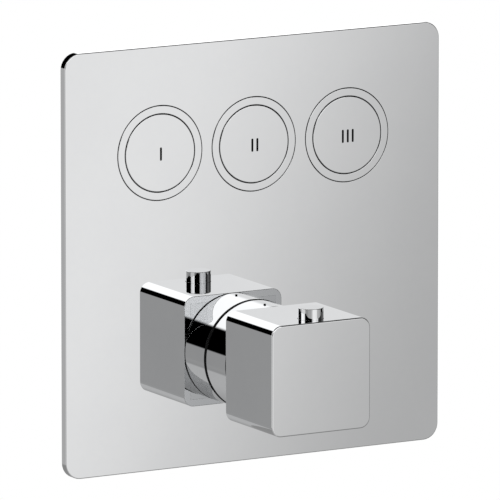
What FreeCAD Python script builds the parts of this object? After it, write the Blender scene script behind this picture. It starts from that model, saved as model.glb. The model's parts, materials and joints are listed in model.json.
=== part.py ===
"""Concealed thermostatic shower valve: three push buttons and one turning knob on a square wall plate.

Frame: +X right, +Z up and -Y out of the wall.  The origin is the middle of the cover plate's back,
which lies on the finished wall.  Everything with y above zero is behind the wall.  Lengths are in
millimetres and angles in degrees.
"""

import FreeCAD
import Part
import Sketcher

import math
import os
import re

# ---------------------------------------------------------------------------------------------
# Driving dimensions: name, value, what it measures
# ---------------------------------------------------------------------------------------------

SIZES = [
    # cover plate and its seal
    ("plate_size", 210.0, "side of the square cover plate"),
    ("plate_depth", 4.5, "thickness of the cover plate"),
    ("plate_corner", 8.0, "radius of the plate's corners"),
    ("plate_edge", 0.4, "chamfer of the plate's front edge"),
    ("seal_inset", 5.0, "plate edge to the seal groove"),
    ("seal_width", 3.0, "width of the foam seal"),
    ("seal_depth", 1.5, "depth of the seal groove"),
    # places of the controls on the plate
    ("button_pitch", 52.5, "spacing of the push buttons"),
    ("button_rise", 52.5, "height of the button row above the plate's middle"),
    ("knob_drop", 52.5, "knob's axis below the plate's middle"),
    # push buttons
    ("cap_radius", 19.1, "radius of a button cap"),
    ("cap_depth", 3.4, "thickness of a button cap"),
    ("cap_proud", 0.3, "cap's face in front of the plate"),
    ("cap_gap", 0.3, "clearance round a cap"),
    ("bezel_radius", 23.35, "outer radius of a button's ring"),
    ("bezel_proud", 0.15, "ring's face in front of the plate"),
    ("button_travel", 3.5, "stroke of a push button"),
    ("rod_radius", 4.0, "radius of a push rod"),
    ("washer_radius", 6.5, "radius of a valve washer"),
    ("washer_depth", 2.5, "thickness of a valve washer"),
    # clearances
    ("seat_gap", 0.05, "clearance of pieces that seat in one another"),
    ("running_gap", 0.05, "radial clearance of a sliding or turning shaft"),
    ("overcut", 1.0, "reach of a cut past the face that it opens"),
    # springs
    ("button_coil", 7.0, "mean radius of a button spring"),
    ("button_wire", 1.1, "wire of a button spring"),
    ("stop_coil", 2.8, "mean radius of the safety stop's spring"),
    ("stop_wire", 0.6, "wire of the safety stop's spring"),
    ("overload_coil", 5.6, "mean radius of the overload spring"),
    ("overload_wire", 1.2, "wire of the overload spring"),
    ("return_coil", 8.5, "mean radius of the return spring"),
    ("return_wire", 1.1, "wire of the return spring"),
    # shut-off cartridges behind the buttons
    ("head_flats", 46.0, "across the flats of a cartridge head"),
    ("head_front", 2.5, "front of the cartridge heads behind the wall plane"),
    ("head_depth", 12.0, "back of the cartridge heads behind the wall plane"),
    ("head_recess", 40.0, "across the flats of the recess for the spring in a cartridge head"),
    ("recess_depth", 10.0, "floor of that recess behind the wall plane"),
    ("shutoff_bore", 13.0, "radius of a shut-off barrel's bore"),
    ("shutoff_guide", 16.0, "length of the rod's guide in a cartridge"),
    ("shutoff_seat", 46.0, "cartridge seat behind the wall plane"),
    ("shutoff_chamber", 5.5, "radius of a cartridge's water chamber"),
    ("shutoff_depth", 54.5, "bottom of a shut-off bore behind the wall plane"),
    # brass castings
    ("barrel_back", 68.0, "back of the castings behind the wall plane"),
    ("manifold_back", 58.0, "back of the shut-off barrels behind the wall plane"),
    ("foot_radius", 8.0, "radius of the feet between those barrels and the bracket"),
    ("shutoff_barrel", 19.0, "outer radius of a shut-off barrel"),
    ("mixer_barrel", 22.0, "outer radius of the thermostat's barrel"),
    ("mixer_bore", 17.0, "radius of the thermostat's bore"),
    ("mixer_depth", 62.0, "bottom of the thermostat's bore behind the wall plane"),
    ("gallery_place", 24.0, "mixed water's gallery behind the wall plane"),
    ("gallery_width", 18.0, "outer width of the gallery, which is square"),
    ("waterway", 10.0, "width of the square passages for mixed water"),
    ("transfer_boss", 20.0, "width of a square boss for the transfer tube"),
    ("transfer_rise", 28.5, "barrel's axis to the end of that boss"),
    ("transfer_flats", 15.0, "across the flats of the transfer tube"),
    ("transfer_way", 5.0, "radius of the way through the transfer tube"),
    ("transfer_socket", 8.0, "depth of the transfer tube's socket"),
    ("inlet_place", 44.0, "middle of the inlets behind the wall plane"),
    ("inlet_spread", 2.0, "each inlet's axis from there towards its own window"),
    ("inlet_flats", 29.0, "across the flats of an inlet"),
    ("inlet_reach", 69.0, "knob's axis to an inlet's end"),
    ("inlet_offset", 6.0, "supply passage away from the inlet's axis"),
    ("inlet_passage", 8.0, "width of a square supply passage"),
    ("check_bore", 8.0, "radius of a check valve's bore"),
    ("check_length", 12.0, "length of a check valve"),
    ("outlet_place", 44.0, "outlets behind the wall plane"),
    ("outlet_offset", 5.0, "water's passage behind the outlet's axis"),
    ("outlet_flats", 26.0, "across the flats of an outlet"),
    ("outlet_reach", 39.0, "button row to an outlet's end"),
    ("port_radius", 9.3, "core radius of a half inch pipe thread"),
    ("port_length", 16.0, "length of that thread"),
    # thermostatic cartridge
    ("nut_flats", 41.0, "across the flats of the cartridge nut"),
    ("neck_radius", 12.0, "outer radius of the cartridge's neck"),
    ("neck_clearance", 2.0, "clearance of the plate round the neck"),
    ("neck_reach", 33.5, "plate's face to the neck's front"),
    ("journal_radius", 5.0, "radius of the spindle's journal"),
    ("journal_length", 12.0, "length of the journal's bearing"),
    ("journal_lead", 4.0, "length of the journal in front of the neck"),
    ("flange_flats", 14.0, "across the flats of the spindle's thrust collar"),
    ("flange_depth", 2.0, "thickness of that collar"),
    ("screw_radius", 4.0, "radius of the spindle's screw"),
    ("screw_length", 22.0, "length of the spindle's screw"),
    ("way_flats", 16.4, "across the flats of the setting nut's way"),
    ("way_end", 14.0, "end of that way behind the wall plane"),
    ("nut_place", 16.0, "front of the setting nut before the wall plane"),
    ("nut_length", 12.0, "length of the setting nut"),
    ("screw_lead", 4.0, "lead of the spindle's screw"),
    ("shuttle_bore", 12.0, "radius of the shuttle's bore"),
    ("shuttle_wall", 2.0, "wall of the shuttle"),
    ("shuttle_place", 36.0, "front of the shuttle behind the wall plane"),
    ("shuttle_length", 16.0, "length of the shuttle"),
    ("spider_width", 4.0, "width of the shuttle's arms"),
    ("spider_place", 42.0, "front of the shuttle's arms behind the wall plane"),
    ("spider_depth", 3.0, "thickness of the shuttle's arms"),
    ("supply_window", 8.0, "width of a supply window along the cartridge"),
    ("mixed_window", 10.0, "width of the mixed water's window along the cartridge"),
    ("window_height", 9.0, "height of the cartridge's windows"),
    ("plunger_place", 3.0, "front of the element's plunger behind the wall plane"),
    ("plunger_flats", 14.0, "across the flats of the plunger's head"),
    ("plunger_head_depth", 2.0, "thickness of the plunger's head"),
    ("plunger_radius", 2.0, "radius of the plunger"),
    ("plunger_length", 10.0, "length of the plunger behind its head"),
    ("element_place", 9.0, "front of the wax element behind the wall plane"),
    ("element_guide", 4.5, "radius of the element's guide"),
    ("element_guide_length", 10.0, "length of the element's guide"),
    ("element_bulb", 7.0, "radius of the element's bulb"),
    ("element_end", 56.0, "end of the bulb behind the wall plane"),
    # knob, its collar and the safety stop
    ("collar_gap", 0.6, "gap between the collar and the plate"),
    ("collar_reach", 20.5, "plate's face to the collar's front"),
    ("collar_step", 0.1, "knob's side beyond the collar's"),
    ("collar_wall", 1.6, "wall of the collar"),
    ("collar_web", 3.0, "thickness of the collar's web"),
    ("knob_gap", 0.3, "gap between the collar and the knob"),
    ("knob_width", 55.0, "side of the knob's square front"),
    ("knob_depth", 45.7, "depth of the knob"),
    ("knob_corner", 6.5, "radius of the knob's long edges"),
    ("knob_edge", 0.8, "chamfer of the knob's front edge"),
    ("knob_wall", 3.5, "side wall of the knob"),
    ("knob_face", 3.0, "front wall of the knob"),
    ("boss_width", 18.0, "side of the knob's inner boss"),
    ("boss_length", 24.0, "length of the knob's inner boss"),
    ("insert_width", 12.0, "side of the square splined insert"),
    ("insert_length", 16.0, "length of the splined insert"),
    ("spline_tip", 4.9, "tip radius of the spindle's spline"),
    ("spline_root", 4.3, "root radius of the spindle's spline"),
    ("spline_teeth", 20.0, "teeth of the spline"),
    ("spline_length", 16.0, "length of the spindle's spline"),
    ("grub_radius", 2.5, "radius of the grub screw"),
    ("grub_length", 5.0, "length of the grub screw"),
    ("grub_place", 25.0, "knob's back to the grub screw"),
    ("cover_depth", 1.5, "thickness of the knob's back cover"),
    ("cover_rim", 2.5, "least width of the back cover round its hole"),
    ("stop_radius", 6.3, "radius of the safety stop's button"),
    ("stop_height", 5.5, "height of that button above the knob"),
    ("stop_inset", 10.5, "knob's front to the button's axis"),
    ("stop_clearance", 0.15, "clearance round that button"),
    ("stop_travel", 3.0, "stroke of the safety stop's button"),
    ("slider_head", 13.0, "side of the stop slider's head"),
    ("slider_head_depth", 1.5, "thickness of the stop slider's head"),
    ("slider_play", 0.3, "clearance of the slider's head under the knob's wall"),
    ("slider_width", 6.0, "width of the stop slider"),
    ("slider_arm", 2.8, "thickness of the stop slider's arm"),
    ("slider_reach", 16.5, "knob's axis to the arm's inner face"),
    ("ring_radius", 20.0, "outer radius of the stop ring"),
    ("ring_depth", 2.0, "thickness of the stop ring"),
    ("tooth_height", 4.0, "height of the stop ring's teeth"),
    ("tooth_width", 5.0, "width of the safety tooth"),
    ("tooth_gap", 0.3, "clearance of a tooth from the slider"),
    ("tooth_drop", 1.6, "depth of the safety tooth along the radius"),
    ("end_stop_inner", 13.4, "inner radius of the end stop"),
    ("cold_turn", 200.0, "turn from the safety stop to the cold end"),
    ("end_play", 1.0, "turn left between the slider and the end stop at either end"),
    ("hot_turn", 60.0, "turn from the safety stop to the hot end, with the button pressed"),
    # fixing bracket
    ("bracket_margin", 10.0, "fixing holes to the bracket's side"),
    ("bracket_height", 150.0, "height of the fixing bracket"),
    ("bracket_depth", 2.5, "thickness of the fixing bracket"),
    ("bracket_corner", 6.0, "radius of the bracket's corners"),
    ("fixing_radius", 3.25, "radius of a fixing hole"),
    ("fixing_spread", 54.0, "fixing holes beside the middle"),
    ("fixing_rise", 24.0, "fixing holes above and below the middle"),
]

FULL_TURN = 360.0
HALF_FACET = 30.0
COIL_TURNS = 3
COIL_STEPS = 8
SAME_PLACE = 1e-6

SHEET = "Sizes"
NAMES = {name for name, _, _ in SIZES}

# Places along the depth, as expressions of the sizes
PLATE_FACE = "(-plate_depth)"
COLLAR_RADIUS = "(knob_width / 2 - collar_step)"
COLLAR_FRONT = f"({PLATE_FACE} - collar_reach)"
KNOB_BACK = f"({COLLAR_FRONT} - knob_gap)"
KNOB_FRONT = f"({KNOB_BACK} - knob_depth)"
NECK_FRONT = f"({PLATE_FACE} - neck_reach)"
JOURNAL_END = f"({NECK_FRONT} + journal_length)"
BOSS_FRONT = f"({KNOB_FRONT} + knob_face)"
BOSS_END = f"({BOSS_FRONT} + boss_length)"
STOP_AXIS = f"({KNOB_FRONT} + stop_inset)"
ARM_BACK = f"({NECK_FRONT} - tooth_gap)"
BRACKET_BACK = "(barrel_back + bracket_depth)"
COLD_INLET = "(inlet_place - inlet_spread)"
HOT_INLET = "(inlet_place + inlet_spread)"
COLD_PLACE = f"({COLD_INLET} - inlet_offset)"
HOT_PLACE = f"({HOT_INLET} + inlet_offset)"
CHECK_START = "(inlet_reach - port_length - check_length)"

# Places across the plate: the knob's axis and the three buttons' axes
KNOB_AXIS = ("0", "0", "-knob_drop")
BUTTON_AXES = [(f"{step} * button_pitch", "0", "button_rise") for step in (-1, 0, 1)]

# Turns that lay a piece's own axis, which is Y, along another axis
ALONG_Y = FreeCAD.Rotation()
ALONG_X = FreeCAD.Rotation(FreeCAD.Vector(0, 0, 1), -90)
ALONG_Z = FreeCAD.Rotation(FreeCAD.Vector(1, 0, 0), 90)
# Turns that lay a primitive's own axis, which is Z, along Y, X or Z
Z_TO_Y = FreeCAD.Rotation(FreeCAD.Vector(1, 0, 0), -90)
Z_TO_X = FreeCAD.Rotation(FreeCAD.Vector(0, 1, 0), 90)
Z_TO_Z = FreeCAD.Rotation()

document = FreeCAD.newDocument("thermostatic_shower_valve")
nodes = []


# ---------------------------------------------------------------------------------------------
# Helpers
# ---------------------------------------------------------------------------------------------


def fill_sheet():
    """Put every size on the sheet, with its name as alias."""
    sheet = document.addObject("Spreadsheet::Sheet", SHEET)
    for row, (name, value, meaning) in enumerate(SIZES, start=1):
        sheet.set(f"A{row}", meaning)
        sheet.set(f"B{row}", str(value))
        sheet.setAlias(f"B{row}", name)
    document.recompute()
    return sheet


def bound(expression):
    """The expression with each size's name turned into its cell on the sheet."""
    return re.sub(r"[a-z_]+", lambda word: f"{SHEET}.{word[0]}" if word[0] in NAMES else word[0], expression)


def number(expression):
    """The value that an expression of the sizes has now."""
    return float(sizes.evalExpression(bound(expression)))


def place(piece, at, rotation=ALONG_Y):
    """Put a piece at a point whose coordinates are expressions."""
    piece.Placement = FreeCAD.Placement(FreeCAD.Vector(), rotation)
    for axis, expression in zip("xyz", at):
        piece.setExpression(f"Placement.Base.{axis}", bound(expression))


def node(piece, label):
    """Name a finished sub-part and keep it for export."""
    piece.Label = label
    nodes.append(piece)
    return piece


def origin_plane(body, role):
    """One of the body's own origin planes."""
    return next(feature for feature in body.Origin.OriginFeatures if feature.Role == role)


def new_sketch(body, name, plane, offset="0"):
    """An empty sketch on one of the body's origin planes, moved along that plane's normal."""
    sketch = body.newObject("Sketcher::SketchObject", name)
    sketch.AttachmentSupport = [(origin_plane(body, plane), "")]
    sketch.MapMode = "FlatFace"
    sketch.setExpression("AttachmentOffset.Base.z", bound(offset))
    return sketch


def pin_point(sketch, edge, point, across, up):
    """Tie a sketch point to two expressions, counted from the sketch's origin."""
    for kind, expression in (("DistanceX", across), ("DistanceY", up)):
        index = sketch.addConstraint(Sketcher.Constraint(kind, -1, 1, edge, point, number(expression)))
        sketch.setExpression(f"Constraints[{index}]", bound(expression))


def add_outline(sketch, corners):
    """A closed outline of straight lines through corners given as pairs of expressions."""
    first = sketch.GeometryCount
    points = [FreeCAD.Vector(number(across), number(up), 0) for across, up in corners]
    for index, start in enumerate(points):
        sketch.addGeometry(Part.LineSegment(start, points[(index + 1) % len(points)]), False)
    for index in range(len(points)):
        following = first + (index + 1) % len(points)
        sketch.addConstraint(Sketcher.Constraint("Coincident", first + index, 2, following, 1))
    for index, (across, up) in enumerate(corners):
        pin_point(sketch, first + index, 1, across, up)


def add_circle(sketch, across, up, radius):
    """A circle whose centre and radius are expressions."""
    centre = FreeCAD.Vector(number(across), number(up), 0)
    edge = sketch.addGeometry(Part.Circle(centre, FreeCAD.Vector(0, 0, 1), number(radius)), False)
    pin_point(sketch, edge, 3, across, up)
    index = sketch.addConstraint(Sketcher.Constraint("Radius", edge, number(radius)))
    sketch.setExpression(f"Constraints[{index}]", bound(radius))


def box_corners(half_width, half_height):
    """The corners of a rectangle centred on the sketch's origin."""
    return [
        (f"-({half_width})", f"-({half_height})"),
        (f"{half_width}", f"-({half_height})"),
        (f"{half_width}", f"{half_height}"),
        (f"-({half_width})", f"{half_height}"),
    ]


def pad(body, sketch, length, towards_back=False):
    """Extrude a sketch along its plane's normal, or the other way."""
    feature = body.newObject("PartDesign::Pad", f"{sketch.Name}_pad")
    feature.Profile = sketch
    feature.Reversed = towards_back
    feature.setExpression("Length", bound(length))
    body.Tip = feature
    document.recompute()
    return feature


def pocket(body, sketch, length, along_normal=False):
    """Cut a sketch against its plane's normal, or along it, and make sure that it cut something."""
    before = body.Shape.Volume
    feature = body.newObject("PartDesign::Pocket", f"{sketch.Name}_cut")
    feature.Profile = sketch
    feature.Reversed = along_normal
    feature.setExpression("Length", bound(length))
    body.Tip = feature
    document.recompute()
    if not body.Shape.Volume < before:
        raise RuntimeError(f"{sketch.Name} cuts nothing")
    return feature


def dress_edges(body, kind, size, chosen):
    """Fillet or chamfer the edges of the body's tip that the test picks."""
    tip = body.Tip
    names = [f"Edge{index + 1}" for index, edge in enumerate(tip.Shape.Edges) if chosen(edge)]
    feature = body.newObject(f"PartDesign::{kind}", f"{tip.Name}_{kind.lower()}")
    feature.Base = (tip, names)
    feature.setExpression("Radius" if kind == "Fillet" else "Size", bound(size))
    body.Tip = feature
    document.recompute()
    return feature


def runs_along_y(edge):
    """Whether an edge is a straight line along the depth."""
    if not isinstance(edge.Curve, Part.Line):
        return False
    return math.isclose(abs(edge.tangentAt(edge.FirstParameter).y), 1.0, rel_tol=SAME_PLACE)


def lies_at_depth(depth):
    """A test for edges that lie in the plane y = depth, in the body's own frame."""
    return lambda edge: all(math.isclose(vertex.Y, depth, rel_tol=SAME_PLACE) for vertex in edge.Vertexes)


def turned(name, outline, at=KNOB_AXIS, rotation=ALONG_Y):
    """A turned piece: an outline of (radius, place along the axis) spun round the body's Y axis."""
    body = document.addObject("PartDesign::Body", name)
    profile = new_sketch(body, f"{name}_profile", "XY_Plane")
    add_outline(profile, outline)
    spin = body.newObject("PartDesign::Revolution", f"{name}_spin")
    spin.Profile = profile
    spin.ReferenceAxis = (profile, ["V_Axis"])
    spin.Angle = FULL_TURN
    body.Tip = spin
    place(body, at, rotation)
    document.recompute()
    return body


def tube_outline(inner, outer, start, end):
    """Outline of a plain tube, or of a disc where the inner radius is 0."""
    return [(inner, start), (outer, start), (outer, end), (inner, end)]


def rod(name, radius, length, at, rotation=Z_TO_Y):
    """A cylinder that starts at a point and runs along Y, X or Z."""
    piece = document.addObject("Part::Cylinder", name)
    piece.setExpression("Radius", bound(radius))
    piece.setExpression("Height", bound(length))
    place(piece, at, rotation)
    return piece


def hexagon(name, flats, length, at, rotation=Z_TO_Y):
    """A hexagonal bar that starts at a point; flats is its size across the flats."""
    piece = document.addObject("Part::Prism", name)
    piece.Polygon = 6
    piece.setExpression("Circumradius", bound(f"({flats}) / sqrt(3)"))
    piece.setExpression("Height", bound(length))
    flats_sideways = FreeCAD.Rotation(FreeCAD.Vector(0, 0, 1), HALF_FACET)
    place(piece, at, rotation * flats_sideways)
    return piece


def block(name, low, high):
    """A box between two corners whose coordinates are expressions."""
    piece = document.addObject("Part::Box", name)
    for side, start, end in zip(("Length", "Width", "Height"), low, high):
        piece.setExpression(side, bound(f"({end}) - ({start})"))
    place(piece, low)
    return piece


def square_way(name, width, start, length, along):
    """A square bar centred on a line that starts at a point and runs along axis 0, 1 or 2."""
    low = [f"{place_on_axis} - ({width}) / 2" for place_on_axis in start]
    high = [f"{place_on_axis} + ({width}) / 2" for place_on_axis in start]
    low[along] = start[along]
    high[along] = f"{start[along]} + ({length})"
    return block(name, low, high)


def fuse(name, pieces):
    """The union of several pieces."""
    union = document.addObject("Part::MultiFuse", name)
    union.Shapes = pieces
    union.Refine = True
    document.recompute()
    return union


def cut(name, base, tools):
    """A piece with tools taken out of it."""
    tool = tools[0] if len(tools) == 1 else fuse(f"{name}_tools", tools)
    result = document.addObject("Part::Cut", name)
    result.Base = base
    result.Tool = tool
    result.Refine = True
    document.recompute()
    return result


def group(name, pieces):
    """Several like solids in one sub-part."""
    compound = document.addObject("Part::Compound", name)
    compound.Links = pieces
    document.recompute()
    return compound


def shift(point, along="0", depth="0", up="0"):
    """A point moved by three expressions."""
    return (f"{point[0]} + ({along})", f"{point[1]} + ({depth})", f"{point[2]} + ({up})")


def wound_wire(radius, wire, low, high):
    """Square wire wound round the Y axis from one height to another, with mitred joints."""
    steps = COIL_TURNS * COIL_STEPS
    path = []
    for step in range(steps + 1):
        turn = 2 * math.pi * step / COIL_STEPS
        height = low + (high - low) * step / steps
        path.append(FreeCAD.Vector(radius * math.cos(turn), height, radius * math.sin(turn)))
    heading = (path[1] - path[0]).normalize()
    across = heading.cross(FreeCAD.Vector(1, 0, 0)).normalize()
    outward = across.cross(heading).normalize()
    sides = ((1, 1), (-1, 1), (-1, -1), (1, -1))
    corners = [path[0] + (outward * out + across * over) * (wire / 2) for out, over in sides]
    section = Part.makePolygon(corners + corners[:1])
    return Part.makePolygon(path).makePipeShell([section], True, False, 1)


def coil(name, radius, wire, start, end, at, rotation=ALONG_Y):
    """A coil spring round the body's Y axis that just reaches from one seat to the other.

    radius is the mean radius of the coil.  The wire turns a little as it is wound, so the coil is
    wound once to see how far it reaches past its ends and then again to fit.
    """
    mean_radius, width, front, back = (number(size) for size in (radius, wire, start, end))
    low, high = front + width / 2, back - width / 2
    reach = wound_wire(mean_radius, width, low, high).BoundBox
    piece = document.addObject("Part::Feature", name)
    piece.Shape = wound_wire(mean_radius, width, low + front - reach.YMin, high + back - reach.YMax)
    place(piece, at, rotation)
    return piece


def spline_bar(name, clearance, start, length):
    """A bar with straight spline teeth, made larger all round by a clearance."""
    teeth = int(number("spline_teeth"))
    tip = number(f"spline_tip + {clearance}")
    root = number(f"spline_root + {clearance}")
    corners = []
    for step in range(2 * teeth):
        turn = math.pi * step / teeth
        radius = tip if step % 2 == 0 else root
        corners.append(FreeCAD.Vector(radius * math.cos(turn), 0, radius * math.sin(turn)))
    star = Part.Face(Part.makePolygon(corners + corners[:1]))
    piece = document.addObject("Part::Feature", name)
    piece.Shape = star.extrude(FreeCAD.Vector(0, number(length), 0))
    place(piece, shift(KNOB_AXIS, depth=start))
    return piece


# ---------------------------------------------------------------------------------------------
# Cover plate
# ---------------------------------------------------------------------------------------------


def seal_outlines(sketch, play):
    """The two rectangles of the foam seal, drawn in by a clearance on each side."""
    outer = f"plate_size / 2 - seal_inset - {play}"
    inner = f"plate_size / 2 - seal_inset - seal_width + {play}"
    add_outline(sketch, box_corners(outer, outer))
    add_outline(sketch, box_corners(inner, inner))


def make_cover_plate():
    """The plate: rounded corners and front edge, three button holes, the neck's hole, seal groove."""
    body = document.addObject("PartDesign::Body", "cover_plate")
    outline = new_sketch(body, "plate_outline", "XZ_Plane")
    add_outline(outline, box_corners("plate_size / 2", "plate_size / 2"))
    pad(body, outline, "plate_depth")
    dress_edges(body, "Fillet", "plate_corner", runs_along_y)
    dress_edges(body, "Chamfer", "plate_edge", lies_at_depth(number(PLATE_FACE)))
    holes = new_sketch(body, "plate_holes", "XZ_Plane", "plate_depth")
    for across, _, up in BUTTON_AXES:
        add_circle(holes, across, up, "bezel_radius + seat_gap")
    add_circle(holes, "0", "-knob_drop", "neck_radius + neck_clearance")
    pocket(body, holes, "plate_depth")
    groove = new_sketch(body, "seal_groove", "XZ_Plane")
    seal_outlines(groove, "0")
    pocket(body, groove, "seal_depth", along_normal=True)
    return node(body, "cover_plate")


def make_plate_seal():
    """The foam seal in the plate's groove, flush with the plate's back."""
    body = document.addObject("PartDesign::Body", "plate_seal")
    outline = new_sketch(body, "seal_outline", "XZ_Plane")
    seal_outlines(outline, "seat_gap")
    pad(body, outline, "seal_depth")
    return node(body, "plate_seal")


# ---------------------------------------------------------------------------------------------
# Push buttons and their shut-off cartridges
# ---------------------------------------------------------------------------------------------


def make_button(index, axis):
    """One push button: cap, rod, valve washer and spring."""
    cap_front = f"({PLATE_FACE} - cap_proud)"
    cap_back = f"({cap_front} + cap_depth)"
    washer_end = "shutoff_seat + washer_depth"
    profiles = {
        "button_cap": tube_outline("0", "cap_radius", cap_front, cap_back),
        "push_rod": tube_outline("0", "rod_radius", cap_back, "shutoff_seat"),
        "valve_washer": tube_outline("0", "washer_radius", "shutoff_seat", washer_end),
    }
    for name, outline in profiles.items():
        node(turned(f"{name}_{index}", outline, axis), f"{name}_{index}")
    spring = coil(f"button_spring_{index}", "button_coil", "button_wire", cap_back, "recess_depth", axis)
    node(spring, f"button_spring_{index}")


def make_button_rings():
    """The rings that line the plate's holes round the buttons and rest on the cartridge heads."""
    front = f"{PLATE_FACE} - bezel_proud"
    outline = tube_outline("cap_radius + cap_gap", "bezel_radius", front, "head_front")
    rings = [turned(f"ring_{index}", outline, axis) for index, axis in enumerate(BUTTON_AXES, start=1)]
    return node(group("rings", rings), "button_rings")


def make_shutoff_cartridge(index, axis):
    """One shut-off cartridge: recessed head, guide for the rod, chamber with seat and a cross way."""
    front = shift(axis, depth="head_front")
    head = hexagon(f"head_{index}", "head_flats", "head_depth - head_front", front)
    stem_start = shift(axis, depth="head_depth")
    stem = rod(f"stem_{index}", "shutoff_bore - seat_gap", "shutoff_seat - head_depth", stem_start)
    chamber_start = shift(axis, depth="shutoff_guide")
    ways = [
        hexagon(f"recess_{index}", "head_recess", "recess_depth - head_front", front),
        rod(f"guide_{index}", "rod_radius + running_gap", "shutoff_guide - head_front", front),
        rod(f"chamber_{index}", "shutoff_chamber", "shutoff_seat - shutoff_guide", chamber_start),
        square_way(f"cross_way_{index}", "waterway", shift(axis, "-shutoff_bore", "gallery_place"),
                   "2 * shutoff_bore", 0),
    ]
    return cut(f"shutoff_{index}", fuse(f"shutoff_solid_{index}", [head, stem]), ways)


# ---------------------------------------------------------------------------------------------
# Brass castings and the fixing bracket
# ---------------------------------------------------------------------------------------------


def make_manifold():
    """The upper casting: three shut-off barrels on a gallery, with an outlet above each."""
    solids, ways = [], []
    for index, axis in enumerate(BUTTON_AXES, start=1):
        front = shift(axis, depth="head_depth")
        outlet = shift(axis, depth="outlet_place")
        port = shift(outlet, up="outlet_reach - port_length")
        foot = shift(axis, depth="manifold_back")
        way_start = shift(outlet, depth="outlet_offset")
        solids.append(rod(f"barrel_{index}", "shutoff_barrel", "manifold_back - head_depth", front))
        solids.append(rod(f"foot_{index}", "foot_radius", "barrel_back - manifold_back", foot))
        solids.append(hexagon(f"outlet_{index}", "outlet_flats", "outlet_reach", outlet, Z_TO_Z))
        ways.append(rod(f"bore_{index}", "shutoff_bore", "shutoff_depth - head_depth", front))
        ways.append(square_way(f"outlet_way_{index}", "waterway", way_start, "outlet_reach - port_length", 2))
        ways.append(rod(f"outlet_port_{index}", "port_radius", "port_length", port, Z_TO_Z))
    gallery_start = ("-button_pitch", "gallery_place", "button_rise")
    solids.append(square_way("gallery", "gallery_width", gallery_start, "2 * button_pitch", 0))
    ways.append(square_way("gallery_way", "waterway", gallery_start, "2 * button_pitch", 0))
    boss_start = ("0", "gallery_place", "button_rise - transfer_rise")
    solids.append(square_way("upper_boss", "transfer_boss", boss_start, "transfer_rise", 2))
    ways.append(square_way("upper_way", "waterway", boss_start, "transfer_rise", 2))
    ways.append(hexagon("upper_socket", "transfer_flats + 2 * seat_gap", "transfer_socket", boss_start, Z_TO_Z))
    casting = cut("manifold", fuse("manifold_solid", solids), ways)
    return node(casting, "outlet_manifold")


def make_mixer():
    """The lower casting: the thermostat's barrel with the two inlets and the transfer tube's boss."""
    front = shift(KNOB_AXIS, depth="head_depth")
    hot_end = shift(KNOB_AXIS, "-inlet_reach", HOT_INLET)
    cold_start = shift(KNOB_AXIS, depth=COLD_INLET)
    boss_start = shift(KNOB_AXIS, depth="gallery_place")
    socket_start = shift(boss_start, up="transfer_rise - transfer_socket")
    solids = [
        rod("mixer_barrel_rod", "mixer_barrel", "barrel_back - head_depth", front),
        hexagon("hot_inlet", "inlet_flats", "inlet_reach", hot_end, Z_TO_X),
        hexagon("cold_inlet", "inlet_flats", "inlet_reach", cold_start, Z_TO_X),
        square_way("lower_boss", "transfer_boss", boss_start, "transfer_rise", 2),
    ]
    cold_seat = shift(cold_start, CHECK_START)
    hot_start = shift(KNOB_AXIS, f"-{CHECK_START}", HOT_PLACE)
    ways = [
        rod("mixer_bore_rod", "mixer_bore", "mixer_depth - head_depth", front),
        rod("hot_port", "port_radius", "port_length", hot_end, Z_TO_X),
        rod("cold_port", "port_radius", "port_length", shift(cold_seat, "check_length"), Z_TO_X),
        rod("hot_check_way", "check_bore", "check_length", shift(hot_end, "port_length"), Z_TO_X),
        rod("cold_check_way", "check_bore", "check_length", cold_seat, Z_TO_X),
        square_way("hot_way", "inlet_passage", hot_start, CHECK_START, 0),
        square_way("cold_way", "inlet_passage", shift(KNOB_AXIS, depth=COLD_PLACE), CHECK_START, 0),
        square_way("lower_way", "waterway", boss_start, "transfer_rise", 2),
        hexagon("lower_socket", "transfer_flats + 2 * seat_gap", "transfer_socket", socket_start, Z_TO_Z),
    ]
    casting = cut("mixer", fuse("mixer_solid", solids), ways)
    return node(casting, "mixer_body")


def make_transfer_tube():
    """The hexagonal tube that carries mixed water up from the mixer to the manifold."""
    reach = "(transfer_rise - transfer_socket)"
    start = ("0", "gallery_place", f"-knob_drop + {reach}")
    length = f"button_rise + knob_drop - 2 * {reach}"
    bar = hexagon("tube_bar", "transfer_flats", length, start, Z_TO_Z)
    way = rod("tube_way", "transfer_way", length, start, Z_TO_Z)
    return node(cut("tube", bar, [way]), "transfer_tube")


def make_check_valves():
    """The two check valve inserts in the inlets, as closed units."""
    hot_start = shift(KNOB_AXIS, f"-({CHECK_START}) - check_length", HOT_INLET)
    cold_start = shift(KNOB_AXIS, CHECK_START, COLD_INLET)
    radius = "check_bore - seat_gap"
    hot = rod("hot_check", radius, "check_length", hot_start, Z_TO_X)
    cold = rod("cold_check", radius, "check_length", cold_start, Z_TO_X)
    return node(group("checks", [hot, cold]), "check_valves")


def make_bracket():
    """The steel bracket behind the castings, with its four fixing holes."""
    body = document.addObject("PartDesign::Body", "bracket")
    outline = new_sketch(body, "bracket_outline", "XZ_Plane", f"-{BRACKET_BACK}")
    add_outline(outline, box_corners("fixing_spread + bracket_margin", "bracket_height / 2"))
    pad(body, outline, "bracket_depth")
    dress_edges(body, "Fillet", "bracket_corner", runs_along_y)
    holes = new_sketch(body, "bracket_holes", "XZ_Plane", "-barrel_back")
    for side in (-1, 1):
        for level in (-1, 1):
            add_circle(holes, f"{side} * fixing_spread", f"{level} * fixing_rise", "fixing_radius")
    pocket(body, holes, "bracket_depth")
    return node(body, "fixing_bracket")


# ---------------------------------------------------------------------------------------------
# Thermostatic cartridge
# ---------------------------------------------------------------------------------------------


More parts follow.
